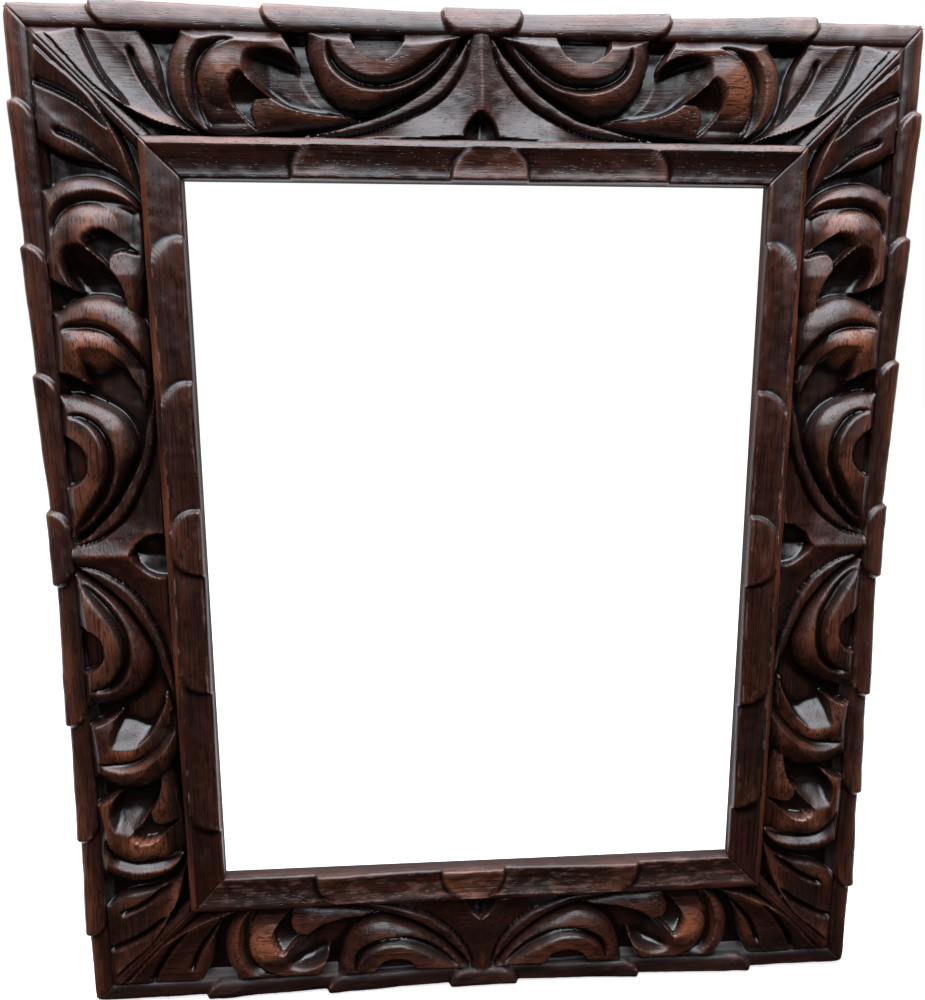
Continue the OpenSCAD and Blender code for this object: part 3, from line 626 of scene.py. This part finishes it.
def rail_points(name, z):
    """A rail's points as a grid, in its own place: along, out and up, in millimetres. Also
    the part of each row, and how proud the lapped scales stand at each point."""
    _, half_l, _, scrolls, notch = RAILS[name]
    row_v, row_t, part = rail_section(z)
    gap = MITRE_GAP
    a = np.concatenate(([-1, gap - 1, 2 * gap - 1],
                        np.linspace(4 * gap - 1, 1 - 4 * gap, COLUMNS),
                        [1 - 2 * gap, 1 - gap, 1]))
    v, t = (np.repeat(row[:, None], len(a), axis=1) for row in (row_v, row_t))
    s = a * (half_l + v)
    seed = 11 * sorted(RAILS).index(name)
    # In millimetres: how far from a mitre the carving stays true, how round the scales'
    # ends are, how much the outer corners are knocked off, and the mitre's eased edge
    calm_l, inner_round, outer_round, knock, knock_l, slit_w = 12, 9, 7, 1.8, 3.5, 0.45
    # Hand carving strays a little from its lines, but not at the mitres
    calm = z.unevenness * ramp(half_l + v - np.abs(s), 0, calm_l)
    s_hand = s + 2 * calm * wander(s, v, 19, seed + 1)
    v_hand = v + 1.6 * calm * wander(s, v, 16, seed + 2)
    field = part == "field"
    # The motifs rise from the ground of the sunk field
    z.ground = t[field]
    t[field] = soften(carve(s_hand[field], v_hand[field], z, half_l, scrolls, notch))
    marks = LAPS[name]
    proud = np.zeros(t.shape)
    inner = np.isin(part, ("inner", "sight"))
    rise = soften(soften(lap_rise(s_hand[inner], v[inner] / z.inner_band_w, marks[2:],
                                  inner_round, z.inner_band_w)))
    proud[inner] = rise
    lift = z.scale_rise * np.where(part[inner] == "sight", 0.5, 1)[:, None]
    t[inner] += (lift - ramp(v[inner], 0, z.inner_band_w)) * rise
    outer = np.isin(part, ("outer", "side"))
    flat = ramp(v[outer], z.rail_w, z.rail_w - z.outer_band_w)
    rise = soften(lap_rise(s_hand[outer], flat, marks[:2], outer_round, z.outer_band_w))
    proud[outer] = rise
    t[outer] += z.scale_rise * rise * ramp(t[outer], 0, z.side_depth)
    v[outer] += z.scale_out * rise * (1 - flat)
    # The outer corners are knocked off
    corner = half_l + z.rail_w - np.abs(s[outer])
    v[outer] -= knock * np.exp(-(corner / knock_l) ** 2) * (1 - flat)
    # Slow waves of the knife over the whole front, and a slightly uneven outer edge
    front = np.isin(part, ("inner", "slope", "field", "outer"))
    t[front] += calm[front] * (0.8 * wander(s[front], v[front], 9, seed + 3)
                               + 0.35 * wander(s[front], v[front], 3.4, seed + 4))
    inward = 0.5 + 0.5 * wander(s[outer], 0 * v[outer], 17, seed + 5)
    v[outer] -= 1.3 * calm[outer] * inward * ramp(
        v[outer], z.rail_w - z.outer_band_w, z.rail_w)
    # The eased edges of the mitres
    slit = np.exp(-((1 - np.abs(a)) * half_l / slit_w) ** 2)
    t[front] -= 0.5 * slit
    t[row_t < 1] += 0.4 * slit
    return np.stack((s, v, t), axis=2), part, proud


def rail_looks(name, points, part, proud, field_out):
    """How worn, hollow, proud and raw each point of a rail is, from 0 to 1."""
    # Hollow carries painted shade as well as gathered stain, and worn carries a painted
    # sheen on the bottom rail's inner band as well as wear
    turn, half_l, _, scrolls, _ = RAILS[name]
    s, v = points[:, :, 0], points[:, :, 1]

    def on(*parts):
        return np.isin(part, parts)[:, None]

    # Stain gathers in the carved field, where the edges are little worn. The hollows, most
    # of all in the carved field, and the opening's walls take the deep colour, which is
    # gathered stain darkened further as painted shade. The free ends of the scales and the
    # slope beside the inner band are rubbed pale.
    carved = on("field") & (v < field_out)
    wide = hollowness(points, 14)
    free_end = (0.4 if turn % 180 else 1) * np.clip(1.8 * proud - 0.9, 0, 1)
    worn = ramp(-hollowness(points, 1), 0.05, 0.21) * np.where(carved, 0.45, 1)
    worn = np.maximum(worn, 0.3 * free_end)
    hollow = ramp(hollowness(points, 3), 0, 0.5) + 0.45 * on("sight")
    hollow += carved * (ramp(hollowness(points, 8), 0, 2) + ramp(wide, 0.4, 2.8))
    hollow *= np.where(carved & (bite(s, v) > 1), 0.2, 1)
    raised = 0.6 * np.where(carved, ramp(-wide, 0.7, 2.5), ramp(-wide, 2.8, 7.8))
    # The scrolls' round heads are rubbed most, but not in the bowls that look up at the
    # light from the stiles' lower halves
    for end, stretch, hooked in scrolls:
        shape = HOOKED_SCROLL if hooked else PLAIN_SCROLL
        ball_u, ball_v = shape["ball"]
        u = (half_l + end - np.abs(s)) / stretch
        head = 1.3 - np.hypot(u - ball_u + 5, v - ball_v + 5) / 11
        raised = np.where(carved, np.maximum(raised, 2 * head), raised)
        if turn % 180:
            bowl = depth_inside(u, v, smooth_line(shape["bowl"], True)) > 0
            raised[bowl & carved & ((s > 0) == (turn == 90))] = 0
    raised = np.where(on("inner"), 0.5 * free_end, np.where(on("slope"), 0.6, raised))
    raw = 1.0 * on("back", "sight")
    if turn == 180:
        # The edge that the frame stands on is dull, and darkened with painted shade; its
        # inner band is lightened in patches with a painted sheen
        shaded_low_edge = on("outer", "side") | (v[:, :1] > field_out)
        hollow += 0.3 * shaded_low_edge
        raw = np.where(shaded_low_edge, 0.5, raw)
        worn = np.maximum(worn, 0.3 * on("inner"))
    front = ~on("back")
    return {"worn": worn * front, "hollow": np.clip(hollow, 0, 1) * front,
            "proud": raised * front, "raw": np.broadcast_to(raw, v.shape)}


def rail_mesh(name, sizes):
    """The closed mesh of a rail, in the frame's own place, with its looks kept as point
    attributes."""
    z = SimpleNamespace(**{key: getattr(sizes, key) / MM
                           for key in FrameSizes.__annotations__})
    points, part, proud = rail_points(name, z)
    turn, _, half_across, _, _ = RAILS[name]
    place = (Matrix.Rotation(math.radians(turn), 4, "Y")
             @ Matrix.Translation((0, 0, half_across * MM))
             @ Matrix.Rotation(math.radians(90), 4, "X"))
    flat = points.reshape(-1, 3) * MM
    flat = flat @ np.array(place.to_3x3()).T + np.array(place.translation)
    index = np.arange(len(flat)).reshape(points.shape[:2])
    ahead = np.roll(index, -1, axis=0)
    quads = np.stack((index[:, :-1], index[:, 1:], ahead[:, 1:], ahead[:, :-1]), axis=2)
    faces = quads.reshape(-1, 4).tolist()
    faces += [index[::-1, -1].tolist(), index[:, 0].tolist()]
    mesh = mesh_of(name + "_wood", flat.tolist(), faces)
    # The carved field ends where the ground starts to slope up to the outer band
    field_out = z.rail_w - z.outer_band_w - 2.8
    for key, values in rail_looks(name, points, part, proud, field_out).items():
        attribute = mesh.attributes.new(key, "FLOAT", "POINT")
        attribute.data.foreach_set("value", values.astype(np.float32).ravel())
    shade(mesh, 48)
    return mesh


# Materials

def add(tree, kind, inputs=None, **settings):
    """Add a node. Settings are its own, and an input is a value, a socket to link, or a
    node whose first result is linked."""
    node = tree.nodes.new(kind)
    for key, value in settings.items():
        setattr(node, key, value)
    for key, value in (inputs or {}).items():
        if isinstance(value, bpy.types.Node):
            value = next(socket for socket in value.outputs if socket.enabled)
        if isinstance(value, bpy.types.NodeSocket):
            tree.links.new(value, node.inputs[key])
        else:
            node.inputs[key].default_value = value
    return node


def new_material(name):
    """An empty node material and its tree."""
    material = bpy.data.materials.new(name)
    material.use_nodes = True
    material.node_tree.nodes.clear()
    return material, material.node_tree


def stained_hardwood(name, colours, grain_turn):
    """Open-pored tropical hardwood, carved, stained dark and waxed to a soft gloss. The
    stain gathers in cuts and pores, and painted shade darkens the cuts further. Proud parts
    are rubbed back to the orange brown of the wood, edges are worn pale, and a painted
    sheen lightens the bottom rail's inner band."""
    material, tree = new_material(name)
    place = add(tree, "ShaderNodeTexCoord").outputs["Object"]
    grain = add(tree, "ShaderNodeMapping", {
        "Vector": place, "Rotation": (0, grain_turn, 0)})
    # The patterns' sizes in millimetres, along the grain and across it
    spots = {}
    for key, along, across, detail in (
            ("figure", 110, 14, 2.0), ("fibre", 34, 1.0, 3.0), ("lines", 46, 0.7, 1.0),
            ("patches", 38, 22, 2.0), ("rubbing", 8, 2.6, 4.0), ("gloss", 24, 8, 3.0),
            ("pore_patches", 9, 5, 0.0)):
        scaled = add(tree, "ShaderNodeMapping", {
            "Vector": grain, "Scale": (1 / (MM * along),) + (1 / (MM * across),) * 2})
        spots[key] = add(tree, "ShaderNodeTexNoise", {
            "Vector": scaled, "Scale": 1.0, "Detail": detail})
    # Each pore lies in a long narrow cell, also measured in millimetres
    cell_l, cell_w = 4.4, 0.9
    scaled = add(tree, "ShaderNodeMapping", {
        "Vector": grain, "Scale": (1 / (MM * cell_l),) + (1 / (MM * cell_w),) * 2})
    cells = add(tree, "ShaderNodeTexVoronoi", {"Vector": scaled, "Scale": 1.0})
    crowd = add(tree, "ShaderNodeMapRange", {
        "Value": spots["pore_patches"], "From Min": 0.3, "From Max": 0.7,
        "To Min": 2.2, "To Max": 0.8})
    pores = add(tree, "ShaderNodeMath", {0: cells.outputs["Distance"], 1: crowd},
                operation="MULTIPLY")
    pores = add(tree, "ShaderNodeMapRange", {
        "Value": pores, "From Min": 0.14, "From Max": 0.3, "To Min": 1.0, "To Max": 0.0})
    looks = {key: add(tree, "ShaderNodeAttribute", attribute_name=key).outputs["Fac"]
             for key in ("worn", "hollow", "proud", "raw")}
    # Each layer of colour: where it lies, the span over which it comes in, how much of it
    # covers, its colour, and what else it is kept to
    colour = tuple(colours.dark)
    for mask, low, high, cover, paint, kept_to in (
            (spots["figure"], 0.36, 0.62, 0.9, colours.red, spots["fibre"]),
            (spots["patches"], 0.3, 0.62, 0.85, colours.rubbed, looks["proud"]),
            # Worn edges, and a painted sheen on the bottom rail's inner band
            (spots["rubbing"], 0.5, 0.66, 0.7, colours.worn, looks["worn"]),
            (spots["lines"], 0.53, 0.62, 0.75, colours.pore, None),
            (pores, 0.0, 1.0, 0.85, colours.pore, None),
            # Gathered stain and painted shade in the hollows
            (looks["hollow"], 0.1, 0.8, 0.92, colours.deep, None)):
        share = add(tree, "ShaderNodeMapRange", {
            "Value": mask, "From Min": low, "From Max": high, "To Max": cover})
        if kept_to is not None:
            share = add(tree, "ShaderNodeMath", {0: share, 1: kept_to},
                        operation="MULTIPLY")
        colour = add(tree, "ShaderNodeMix", {0: share, 6: colour, 7: tuple(paint)},
                     data_type="RGBA").outputs[2]
    rough = add(tree, "ShaderNodeMapRange", {
        "Value": spots["gloss"], "From Min": 0.3, "From Max": 0.7,
        "To Min": 0.29, "To Max": 0.43})
    # Wax lies thick in the cuts, and the back and the opening's walls never had any
    for look, change in (("hollow", -0.1), ("raw", 0.5)):
        rough = add(tree, "ShaderNodeMath", {0: looks[look], 1: change, 2: rough},
                    operation="MULTIPLY_ADD")
    height = add(tree, "ShaderNodeMath", {0: pores, 1: -0.6, 2: spots["fibre"]},
                 operation="MULTIPLY_ADD")
    filled = add(tree, "ShaderNodeMath", {0: looks["hollow"], 1: -0.85, 2: 1.0},
                 operation="MULTIPLY_ADD")
    height = add(tree, "ShaderNodeMath", {0: height, 1: filled}, operation="MULTIPLY")
    bump = add(tree, "ShaderNodeBump", {
        "Height": height, "Strength": 0.65, "Distance": 0.22 * MM})
    wood = add(tree, "ShaderNodeBsdfPrincipled", {
        "Base Color": colour, "Roughness": rough, "Normal": bump,
        "Specular IOR Level": 0.5, "IOR": 1.48})
    add(tree, "ShaderNodeOutputMaterial", {"Surface": wood})
    return material


def scratched_metal(name, colour, roughness, scratch_mm):
    """Metal with fine upright scratches and dull patches."""
    material, tree = new_material(name)
    place = add(tree, "ShaderNodeTexCoord").outputs["Object"]
    across = 1 / (MM * scratch_mm)
    scaled = add(tree, "ShaderNodeMapping", {
        "Vector": place, "Scale": (across, across, across / 9)})
    scratches = add(tree, "ShaderNodeTexNoise", {
        "Vector": scaled, "Scale": 1.0, "Detail": 4.0})
    dull = add(tree, "ShaderNodeTexNoise", {
        "Vector": place, "Scale": 1 / (MM * 7), "Detail": 3.0})
    tone = add(tree, "ShaderNodeMix", {
        0: dull, 6: tuple(c * 0.62 for c in colour[:3]) + (1,), 7: tuple(colour)},
        data_type="RGBA").outputs[2]
    rough = add(tree, "ShaderNodeMapRange", {
        "Value": dull, "From Min": 0.3, "From Max": 0.7, "To Min": roughness + 0.14,
        "To Max": roughness})
    bump = add(tree, "ShaderNodeBump", {
        "Height": scratches, "Strength": 0.25, "Distance": 0.06 * MM})
    metal = add(tree, "ShaderNodeBsdfPrincipled", {
        "Base Color": tone, "Metallic": 1.0, "Roughness": rough,
        "Normal": bump})
    add(tree, "ShaderNodeOutputMaterial", {"Surface": metal})
    return material


def named(material_name, make, *values):
    """The material of that name, made the first time that it is asked for."""
    return bpy.data.materials.get(material_name) or make(material_name, *values)


# Fittings on the back

def new_tree(name, inputs):
    """An empty Geometry Nodes tree with its named inputs. Gives the tree and what its
    inputs hand on."""
    tree = bpy.data.node_groups.new(name, "GeometryNodeTree")
    tree.interface.new_socket("Points", in_out="INPUT", socket_type="NodeSocketGeometry")
    for label, kind in inputs.items():
        tree.interface.new_socket(label, in_out="INPUT", socket_type="NodeSocket" + kind)
    tree.interface.new_socket("Result", in_out="OUTPUT", socket_type="NodeSocketGeometry")
    return tree, tree.nodes.new("NodeGroupInput").outputs


def repeat(tree, given, piece, turn):
    """The end of a tree: the piece at every point, turned about Y, as one finished mesh."""
    about_y = add(tree, "ShaderNodeCombineXYZ", {"Y": turn})
    placed = add(tree, "GeometryNodeInstanceOnPoints", {
        "Points": given["Points"], "Instance": piece, "Rotation": about_y})
    real = add(tree, "GeometryNodeRealizeInstances", {"Geometry": placed})
    finished = add(tree, "GeometryNodeSetMaterial", {
        "Geometry": real, "Material": given["Finish"]})
    add(tree, "NodeGroupOutput", {"Result": finished})


def screws_tree():
    """Round-head screws, each slotted and driven to its own angle."""
    tree, given = new_tree("Slotted screws", {
        "Turned screw": "Object", "Slot width": "Float", "Slot depth": "Float",
        "Head height": "Float", "Angle": "Float", "Seed": "Int", "Finish": "Material"})
    turned = add(tree, "GeometryNodeObjectInfo", {
        "Object": given["Turned screw"]}).outputs["Geometry"]
    twice = add(tree, "ShaderNodeMath", {0: given["Slot depth"], 1: 2.0},
                operation="MULTIPLY")
    size = add(tree, "ShaderNodeCombineXYZ", {
        "X": 20 * MM, "Y": twice, "Z": given["Slot width"]})
    cutter = add(tree, "GeometryNodeMeshCube", {"Size": size})
    top = add(tree, "ShaderNodeCombineXYZ", {"Y": given["Head height"]})
    cutter = add(tree, "GeometryNodeTransform", {"Geometry": cutter, "Translation": top})
    slotted = add(tree, "GeometryNodeMeshBoolean", {"Mesh 1": turned, "Mesh 2": cutter},
                  operation="DIFFERENCE", solver="EXACT")
    turn = add(tree, "FunctionNodeRandomValue", {
        2: 0.0, 3: given["Angle"], "Seed": given["Seed"]}, data_type="FLOAT")
    repeat(tree, given, slotted, turn)
    return tree


def strips_tree():
    """Corrugated strips: a sheet bent to waves, each turned across its mitre."""
    tree, given = new_tree("Corrugated strips", {
        "Length": "Float", "Depth": "Float", "Thickness": "Float", "Wave height": "Float",
        "Waves": "Float", "Finish": "Material"})
    sheet = add(tree, "GeometryNodeMeshGrid", {
        "Size X": given["Length"], "Size Y": given["Depth"], "Vertices X": 65,
        "Vertices Y": 2})
    place = add(tree, "ShaderNodeSeparateXYZ", {0: add(tree, "GeometryNodeInputPosition")})
    wave = place.outputs["X"]
    for operation, by in (("DIVIDE", given["Length"]), ("MULTIPLY", given["Waves"]),
                          ("MULTIPLY", 2 * math.pi), ("SINE", 0.0),
                          ("MULTIPLY", given["Wave height"])):
        wave = add(tree, "ShaderNodeMath", {0: wave, 1: by}, operation=operation)
    offset = add(tree, "ShaderNodeCombineXYZ", {"Z": wave})
    bent = add(tree, "GeometryNodeSetPosition", {"Geometry": sheet, "Offset": offset})
    thick = add(tree, "GeometryNodeExtrudeMesh", {
        "Mesh": bent, "Offset Scale": given["Thickness"], "Individual": False})
    under = add(tree, "GeometryNodeFlipFaces", {"Mesh": bent})
    closed = add(tree, "GeometryNodeJoinGeometry", {"Geometry": thick})
    tree.links.new(under.outputs["Mesh"], closed.inputs["Geometry"])
    closed = add(tree, "GeometryNodeMergeByDistance", {
        "Geometry": closed, "Distance": 0.001 * MM})
    turn = add(tree, "GeometryNodeInputNamedAttribute", {"Name": "turn"}, data_type="FLOAT")
    repeat(tree, given, closed, turn)
    return tree


def grown(name, points, turns, tree, values):
    """A piece that a tree grows on its points, made into a plain mesh."""
    mesh = mesh_of(name, points, [])
    mesh.attributes.new("turn", "FLOAT", "POINT").data.foreach_set("value", turns)
    piece = put(name, mesh)
    modifier = piece.modifiers.new("Repeat", "NODES")
    modifier.node_group = tree
    for socket in tree.interface.items_tree:
        if socket.name in values:
            modifier[socket.identifier] = values[socket.name]
    depsgraph = bpy.context.evaluated_depsgraph_get()
    plain = bpy.data.meshes.new_from_object(piece.evaluated_get(depsgraph))
    piece.modifiers.remove(modifier)
    piece.data = plain
    return piece


def turned_screw(head_r, head_h, shank_r, shank_l):
    """A round-head screw without its slot, turned about Y from the underside of its head.
    Its thread stays in the wood, and isn't cut."""
    ball = (head_r ** 2 + head_h ** 2) / (2 * head_h)
    profile = [(ball * math.sin(a), head_h - ball + ball * math.cos(a))
               for a in np.linspace(0.08, math.asin(head_r / ball), 9)]
    rim_w, under, tip_l, tip_r, sides = 0.12, -0.08, 2.5, 0.25, 40
    profile += [(head_r - rim_w, under), (shank_r, under), (shank_r, tip_l - shank_l),
                (tip_r, -shank_l)]
    rows = [[(r * math.cos(a) * MM, y * MM, r * math.sin(a) * MM)
             for a in np.linspace(0, 2 * math.pi, sides, endpoint=False)]
            for r, y in profile]
    return put("turned_screw", stretched_over("turned_screw", rows))


def button_mesh(name):
    """A turn button: a brass plate with round ends, its edges rounded over."""
    low, high = (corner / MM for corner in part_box(name))
    half_w, middle = (high.x - low.x) / 2, (high.x + low.x) / 2
    around_end = np.linspace(0, math.pi, 25)
    outline = [(a, high.z - half_w) for a in around_end]
    outline += [(a + math.pi, low.z + half_w) for a in around_end]
    # How far each row lies in from the outline, and its place in depth
    edge = [(0.4, high.y), (0.1, high.y - 0.12), (0, high.y - 0.4), (0, low.y + 0.3),
            (0.08, low.y + 0.08), (0.3, low.y)]
    rows = [[((middle + (half_w - inset) * math.cos(a)) * MM, y * MM,
              (z + (half_w - inset) * math.sin(a)) * MM) for a, z in outline]
            for inset, y in edge]
    return stretched_over(name + "_plate", rows)


def joined_mesh(name):
    """A copy of a node's mesh with its triangles joined to one skin."""
    mesh = frame["nodes"][name].data.copy()
    skin = bmesh.new()
    skin.from_mesh(mesh)
    bmesh.ops.remove_doubles(skin, verts=skin.verts, dist=0.001 * MM)
    skin.to_mesh(mesh)
    skin.free()
    mesh.name = name + "_skin"
    return mesh


def stand_for(piece, material, slot, *nodes):
    """The piece takes its finish and its nodes' place, and rides on their body."""
    shade(piece.data, 35)
    piece.data.materials.clear()
    piece.data.materials.append(material)
    body = next(key for key, empty in frame["bodies"].items()
                if empty == frame["nodes"][nodes[0]].parent)
    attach(piece, body)
    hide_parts(*nodes)


# Operators

class CARVEDFRAME_OT_rails(bpy.types.Operator):
    """Carve the four mitred rails"""
    bl_idname = "carved_frame.rails"
    bl_label = "Carve the Rails"

    def execute(self, context):
        sizes, colours = context.scene.carved_frame, context.scene.carved_frame_colours
        for name, (turn, *_) in RAILS.items():
            grain_turn = math.radians(turn)
            label = "Stained hardwood, stile" if turn % 180 else "Stained hardwood, rail"
            piece = put(name + "_wood", rail_mesh(name, sizes))
            piece.data.materials.append(named(label, stained_hardwood, colours, grain_turn))
            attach(piece, "frame")
            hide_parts(name)
        return {"FINISHED"}


class CARVEDFRAME_OT_fittings(bpy.types.Operator):
    """Make the steel and brass fittings on the back"""
    bl_idname = "carved_frame.fittings"
    bl_label = "Make the Fittings"

    def execute(self, context):
        colours = context.scene.carved_frame_colours
        brass = named("Brass plate, tumbled", scratched_metal, colours.brass, 0.3, 0.4)
        zinc = named("Steel, zinc plated", scratched_metal, colours.steel, 0.28, 0.3)
        bare = named("Steel strip, bare and dull", scratched_metal, colours.dull_steel,
                     0.42, 0.5)
        for name in frame["nodes"]:
            if name.startswith("turn_button"):
                mesh, metal, slot = button_mesh(name), brass, "button_brass"
            elif name.startswith(("hanger_strap", "hanger_ring")):
                mesh, metal, slot = joined_mesh(name), zinc, "hanger_steel"
            else:
                continue
            stand_for(put(mesh.name, mesh), metal, slot, name)
        drive_screws(zinc)
        drive_strips(bare)
        return {"FINISHED"}


def drive_screws(zinc):
    """The six screws, each at its node's head."""
    nodes = sorted(name for name in frame["nodes"] if "_screw_" in name)
    head_r, head_h, shank_r, shank_l = 3.4, 1.9, 1.6, 8.8
    points = []
    for name in nodes:
        low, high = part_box(name)
        points.append(((low.x + high.x) / 2, high.y - head_h * MM, (low.z + high.z) / 2))
    shape = turned_screw(head_r, head_h, shank_r, shank_l)
    screws = grown("back_screws", points, [0.0] * len(points), screws_tree(), {
        "Turned screw": shape, "Slot width": 0.9 * MM, "Slot depth": 0.8 * MM,
        "Head height": head_h * MM, "Angle": math.pi, "Seed": 4, "Finish": zinc})
    bpy.data.objects.remove(shape)
    stand_for(screws, zinc, "screw_steel", *nodes)


def drive_strips(bare):
    """Two corrugated strips across each mitre, their edges just proud of the back."""
    depth, proud = 7.4 * MM, 0.03 * MM
    rail_w = bpy.context.scene.carved_frame.rail_w
    points, turns = [], []
    for across in (-1, 1):
        for up in (-1, 1):
            for reach in (0.3, 0.68):
                points.append((across * (SIGHT_HALF_W * MM + rail_w * reach),
                               proud - depth / 2,
                               up * (SIGHT_HALF_H * MM + rail_w * reach)))
                turns.append(across * up * math.pi / 4)
    strips = grown("mitre_strips", points, turns, strips_tree(), {
        "Length": 25 * MM, "Depth": depth, "Thickness": 0.8 * MM, "Wave height": 1.2 * MM,
        "Waves": 4.0, "Finish": bare})
    stand_for(strips, bare, "fastener_steel",
              *sorted(name for name in frame["nodes"] if name.startswith("mitre")))


class CARVEDFRAME_OT_studio(bpy.types.Operator):
    """Set the floor, the soft lights, the world and the camera"""
    bl_idname = "carved_frame.studio"
    bl_label = "Set Up the Studio"

    def execute(self, context):
        scene = context.scene
        scene.view_settings.view_transform = "Standard"
        pale_floor()
        dark_card()
        soft_lights()
        white_world(scene)
        photo_camera(scene)
        return {"FINISHED"}


def pale_floor():
    """A wide pale floor under the frame. It glows more where less light falls on it."""
    low, reach = CAD_BOX[0][2], 6.0
    corners = [(x * reach, y * reach, low) for x, y in ((-1, -1), (1, -1), (1, 1), (-1, 1))]
    floor = put("floor", mesh_of("floor", corners, [(0, 1, 2, 3)]))
    material, tree = new_material("Studio floor, white paper")
    paper = add(tree, "ShaderNodeBsdfDiffuse", {"Color": linear("#e8e8e8")})
    place = add(tree, "ShaderNodeTexCoord").outputs["Object"]
    gone = add(tree, "ShaderNodeVectorMath", {0: place}, operation="LENGTH")
    strength = add(tree, "ShaderNodeMapRange", {
        "Value": gone.outputs["Value"], "From Min": 0.5, "From Max": 3.0,
        "To Min": 0.62, "To Max": 1.0})
    glow = add(tree, "ShaderNodeEmission", {"Color": (1, 1, 1, 1), "Strength": strength})
    both = add(tree, "ShaderNodeAddShader", {0: paper, 1: glow})
    look = add(tree, "ShaderNodeMixShader", {0: background_rays(tree), 1: paper, 2: both})
    add(tree, "ShaderNodeOutputMaterial", {"Surface": look})
    floor.data.materials.append(material)


def background_rays(tree):
    """1 for the rays that show a background: from the camera or by reflection or glass."""
    rays = add(tree, "ShaderNodeLightPath")
    seen = rays.outputs["Is Camera Ray"]
    for other in ("Is Glossy Ray", "Is Transmission Ray"):
        seen = add(tree, "ShaderNodeMath", {0: seen, 1: rays.outputs[other]},
                   operation="MAXIMUM")
    return seen


def dark_card():
    """A black card in a bay round the front, which only reflections and bounced light
    see, so that the gloss stays deep and the undersides dark."""
    foot, half_w, reach, top, bend_r = CAD_BOX[0][2] + 0.002, 0.3, 1.3, 0.9, 0.4
    flat = reach - bend_r
    section = [(0.0, foot), (flat, foot)]
    section += [(flat + bend_r * math.sin(a), foot + bend_r - bend_r * math.cos(a))
                for a in np.radians(np.linspace(15, 90, 6))]
    section.append((reach, top))
    bay = [(a, -half_w) for a in np.radians(np.linspace(-95, 0, 12))]
    bay += [(a, half_w) for a in np.radians(np.linspace(0, 95, 12))]
    rows = [[(x + r * math.sin(a), -r * math.cos(a), z) for a, x in bay]
            for r, z in section]
    card = put("dark_card", stretched_over("dark_card", rows, closed=False))
    material, tree = new_material("Studio card, black felt")
    felt = add(tree, "ShaderNodeBsdfDiffuse", {"Color": linear("#1a1614")})
    add(tree, "ShaderNodeOutputMaterial", {"Surface": felt})
    card.data.materials.append(material)
    card.visible_camera = card.visible_shadow = False


def soft_lights():
    """A wide window overhead, a smaller one high in front, and a weak light low there."""
    lights = (
        ("window_light", (0.0, -0.2, 1.25), (1.7, 1.2), 46, (0.86, 0.91, 1.0), True),
        ("high_light", (0.0, -0.9, 0.98), (1.5, 0.8), 21, (0.88, 0.92, 1.0), True),
        # The weak light only fills the shadows, and no gloss shows it
        ("front_light", (-0.7, -1.0, 0.3), (0.9, 0.9), 2, (1.0, 0.95, 0.9), False),
    )
    for name, at, (light_w, light_h), watts, colour, in_gloss in lights:
        light = bpy.data.lights.new(name, "AREA")
        light.shape = "RECTANGLE"
        light.size, light.size_y = light_w, light_h
        light.energy = watts
        light.color = colour
        lamp = put(name, light)
        lamp.location = at
        lamp.rotation_euler = (math.atan2(math.hypot(at[0], at[1]), at[2]), 0,
                               math.atan2(at[0], -at[1]))
        lamp.visible_glossy = in_gloss


def white_world(scene):
    """White to the eye, and a plain soft level of light to the object."""
    world = bpy.data.worlds.new("Studio")
    world.use_nodes = True
    tree = world.node_tree
    tree.nodes.clear()
    strength = add(tree, "ShaderNodeMapRange", {
        "Value": background_rays(tree), "To Min": 0.2, "To Max": 1.0})
    light = add(tree, "ShaderNodeBackground", {"Color": (1, 1, 1, 1), "Strength": strength})
    add(tree, "ShaderNodeOutputWorld", {"Surface": light})
    scene.world = world


def photo_camera(scene):
    """The photograph's view: close, a little above and to the left of the middle."""
    photo_w_px, focal_px = 925, 745.2
    at, (pitch, roll, turn) = (-31.7, -374.8, 84.8), (-0.163, 0.004, -0.062)
    data = bpy.data.cameras.new("camera")
    data.sensor_fit = "HORIZONTAL"
    data.sensor_width = 36.0
    data.lens = focal_px / photo_w_px * data.sensor_width
    data.clip_start = 0.02
    camera = put("camera", data)
    look_along_y = Matrix(((1, 0, 0, 0), (0, 0, -1, 0), (0, 1, 0, 0), (0, 0, 0, 1)))
    camera.matrix_world = (
        Matrix.Translation([c * MM for c in at])
        @ Matrix.Rotation(turn, 4, "Z") @ Matrix.Rotation(pitch, 4, "X")
        @ Matrix.Rotation(roll, 4, "Y") @ look_along_y)
    scene.camera = camera


class CARVEDFRAME_PT_panel(bpy.types.Panel):
    """Sizes, colours and steps of the carved frame"""
    bl_idname = "CARVEDFRAME_PT_panel"
    bl_label = "Carved Frame"
    bl_space_type = "VIEW_3D"
    bl_region_type = "UI"
    bl_category = "Carved Frame"

    def draw(self, context):
        scene = context.scene
        for group in (scene.carved_frame, scene.carved_frame_colours):
            box = self.layout.box()
            for key in type(group).__annotations__:
                box.prop(group, key)
        for step in STEPS:
            self.layout.operator(step.bl_idname)


STEPS = (CARVEDFRAME_OT_rails, CARVEDFRAME_OT_fittings, CARVEDFRAME_OT_studio)
CLASSES = (FrameSizes, FrameColours) + STEPS + (CARVEDFRAME_PT_panel,)


def register():
    for cls in CLASSES:
        bpy.utils.register_class(cls)
    bpy.types.Scene.carved_frame = bpy.props.PointerProperty(type=FrameSizes)
    bpy.types.Scene.carved_frame_colours = bpy.props.PointerProperty(type=FrameColours)


def unregister():
    del bpy.types.Scene.carved_frame_colours
    del bpy.types.Scene.carved_frame
    for cls in reversed(CLASSES):
        bpy.utils.unregister_class(cls)


def main():
    register()
    for step in STEPS:
        group, name = step.bl_idname.split(".")
        getattr(getattr(bpy.ops, group), name)()


if __name__ == "__main__":
    main()
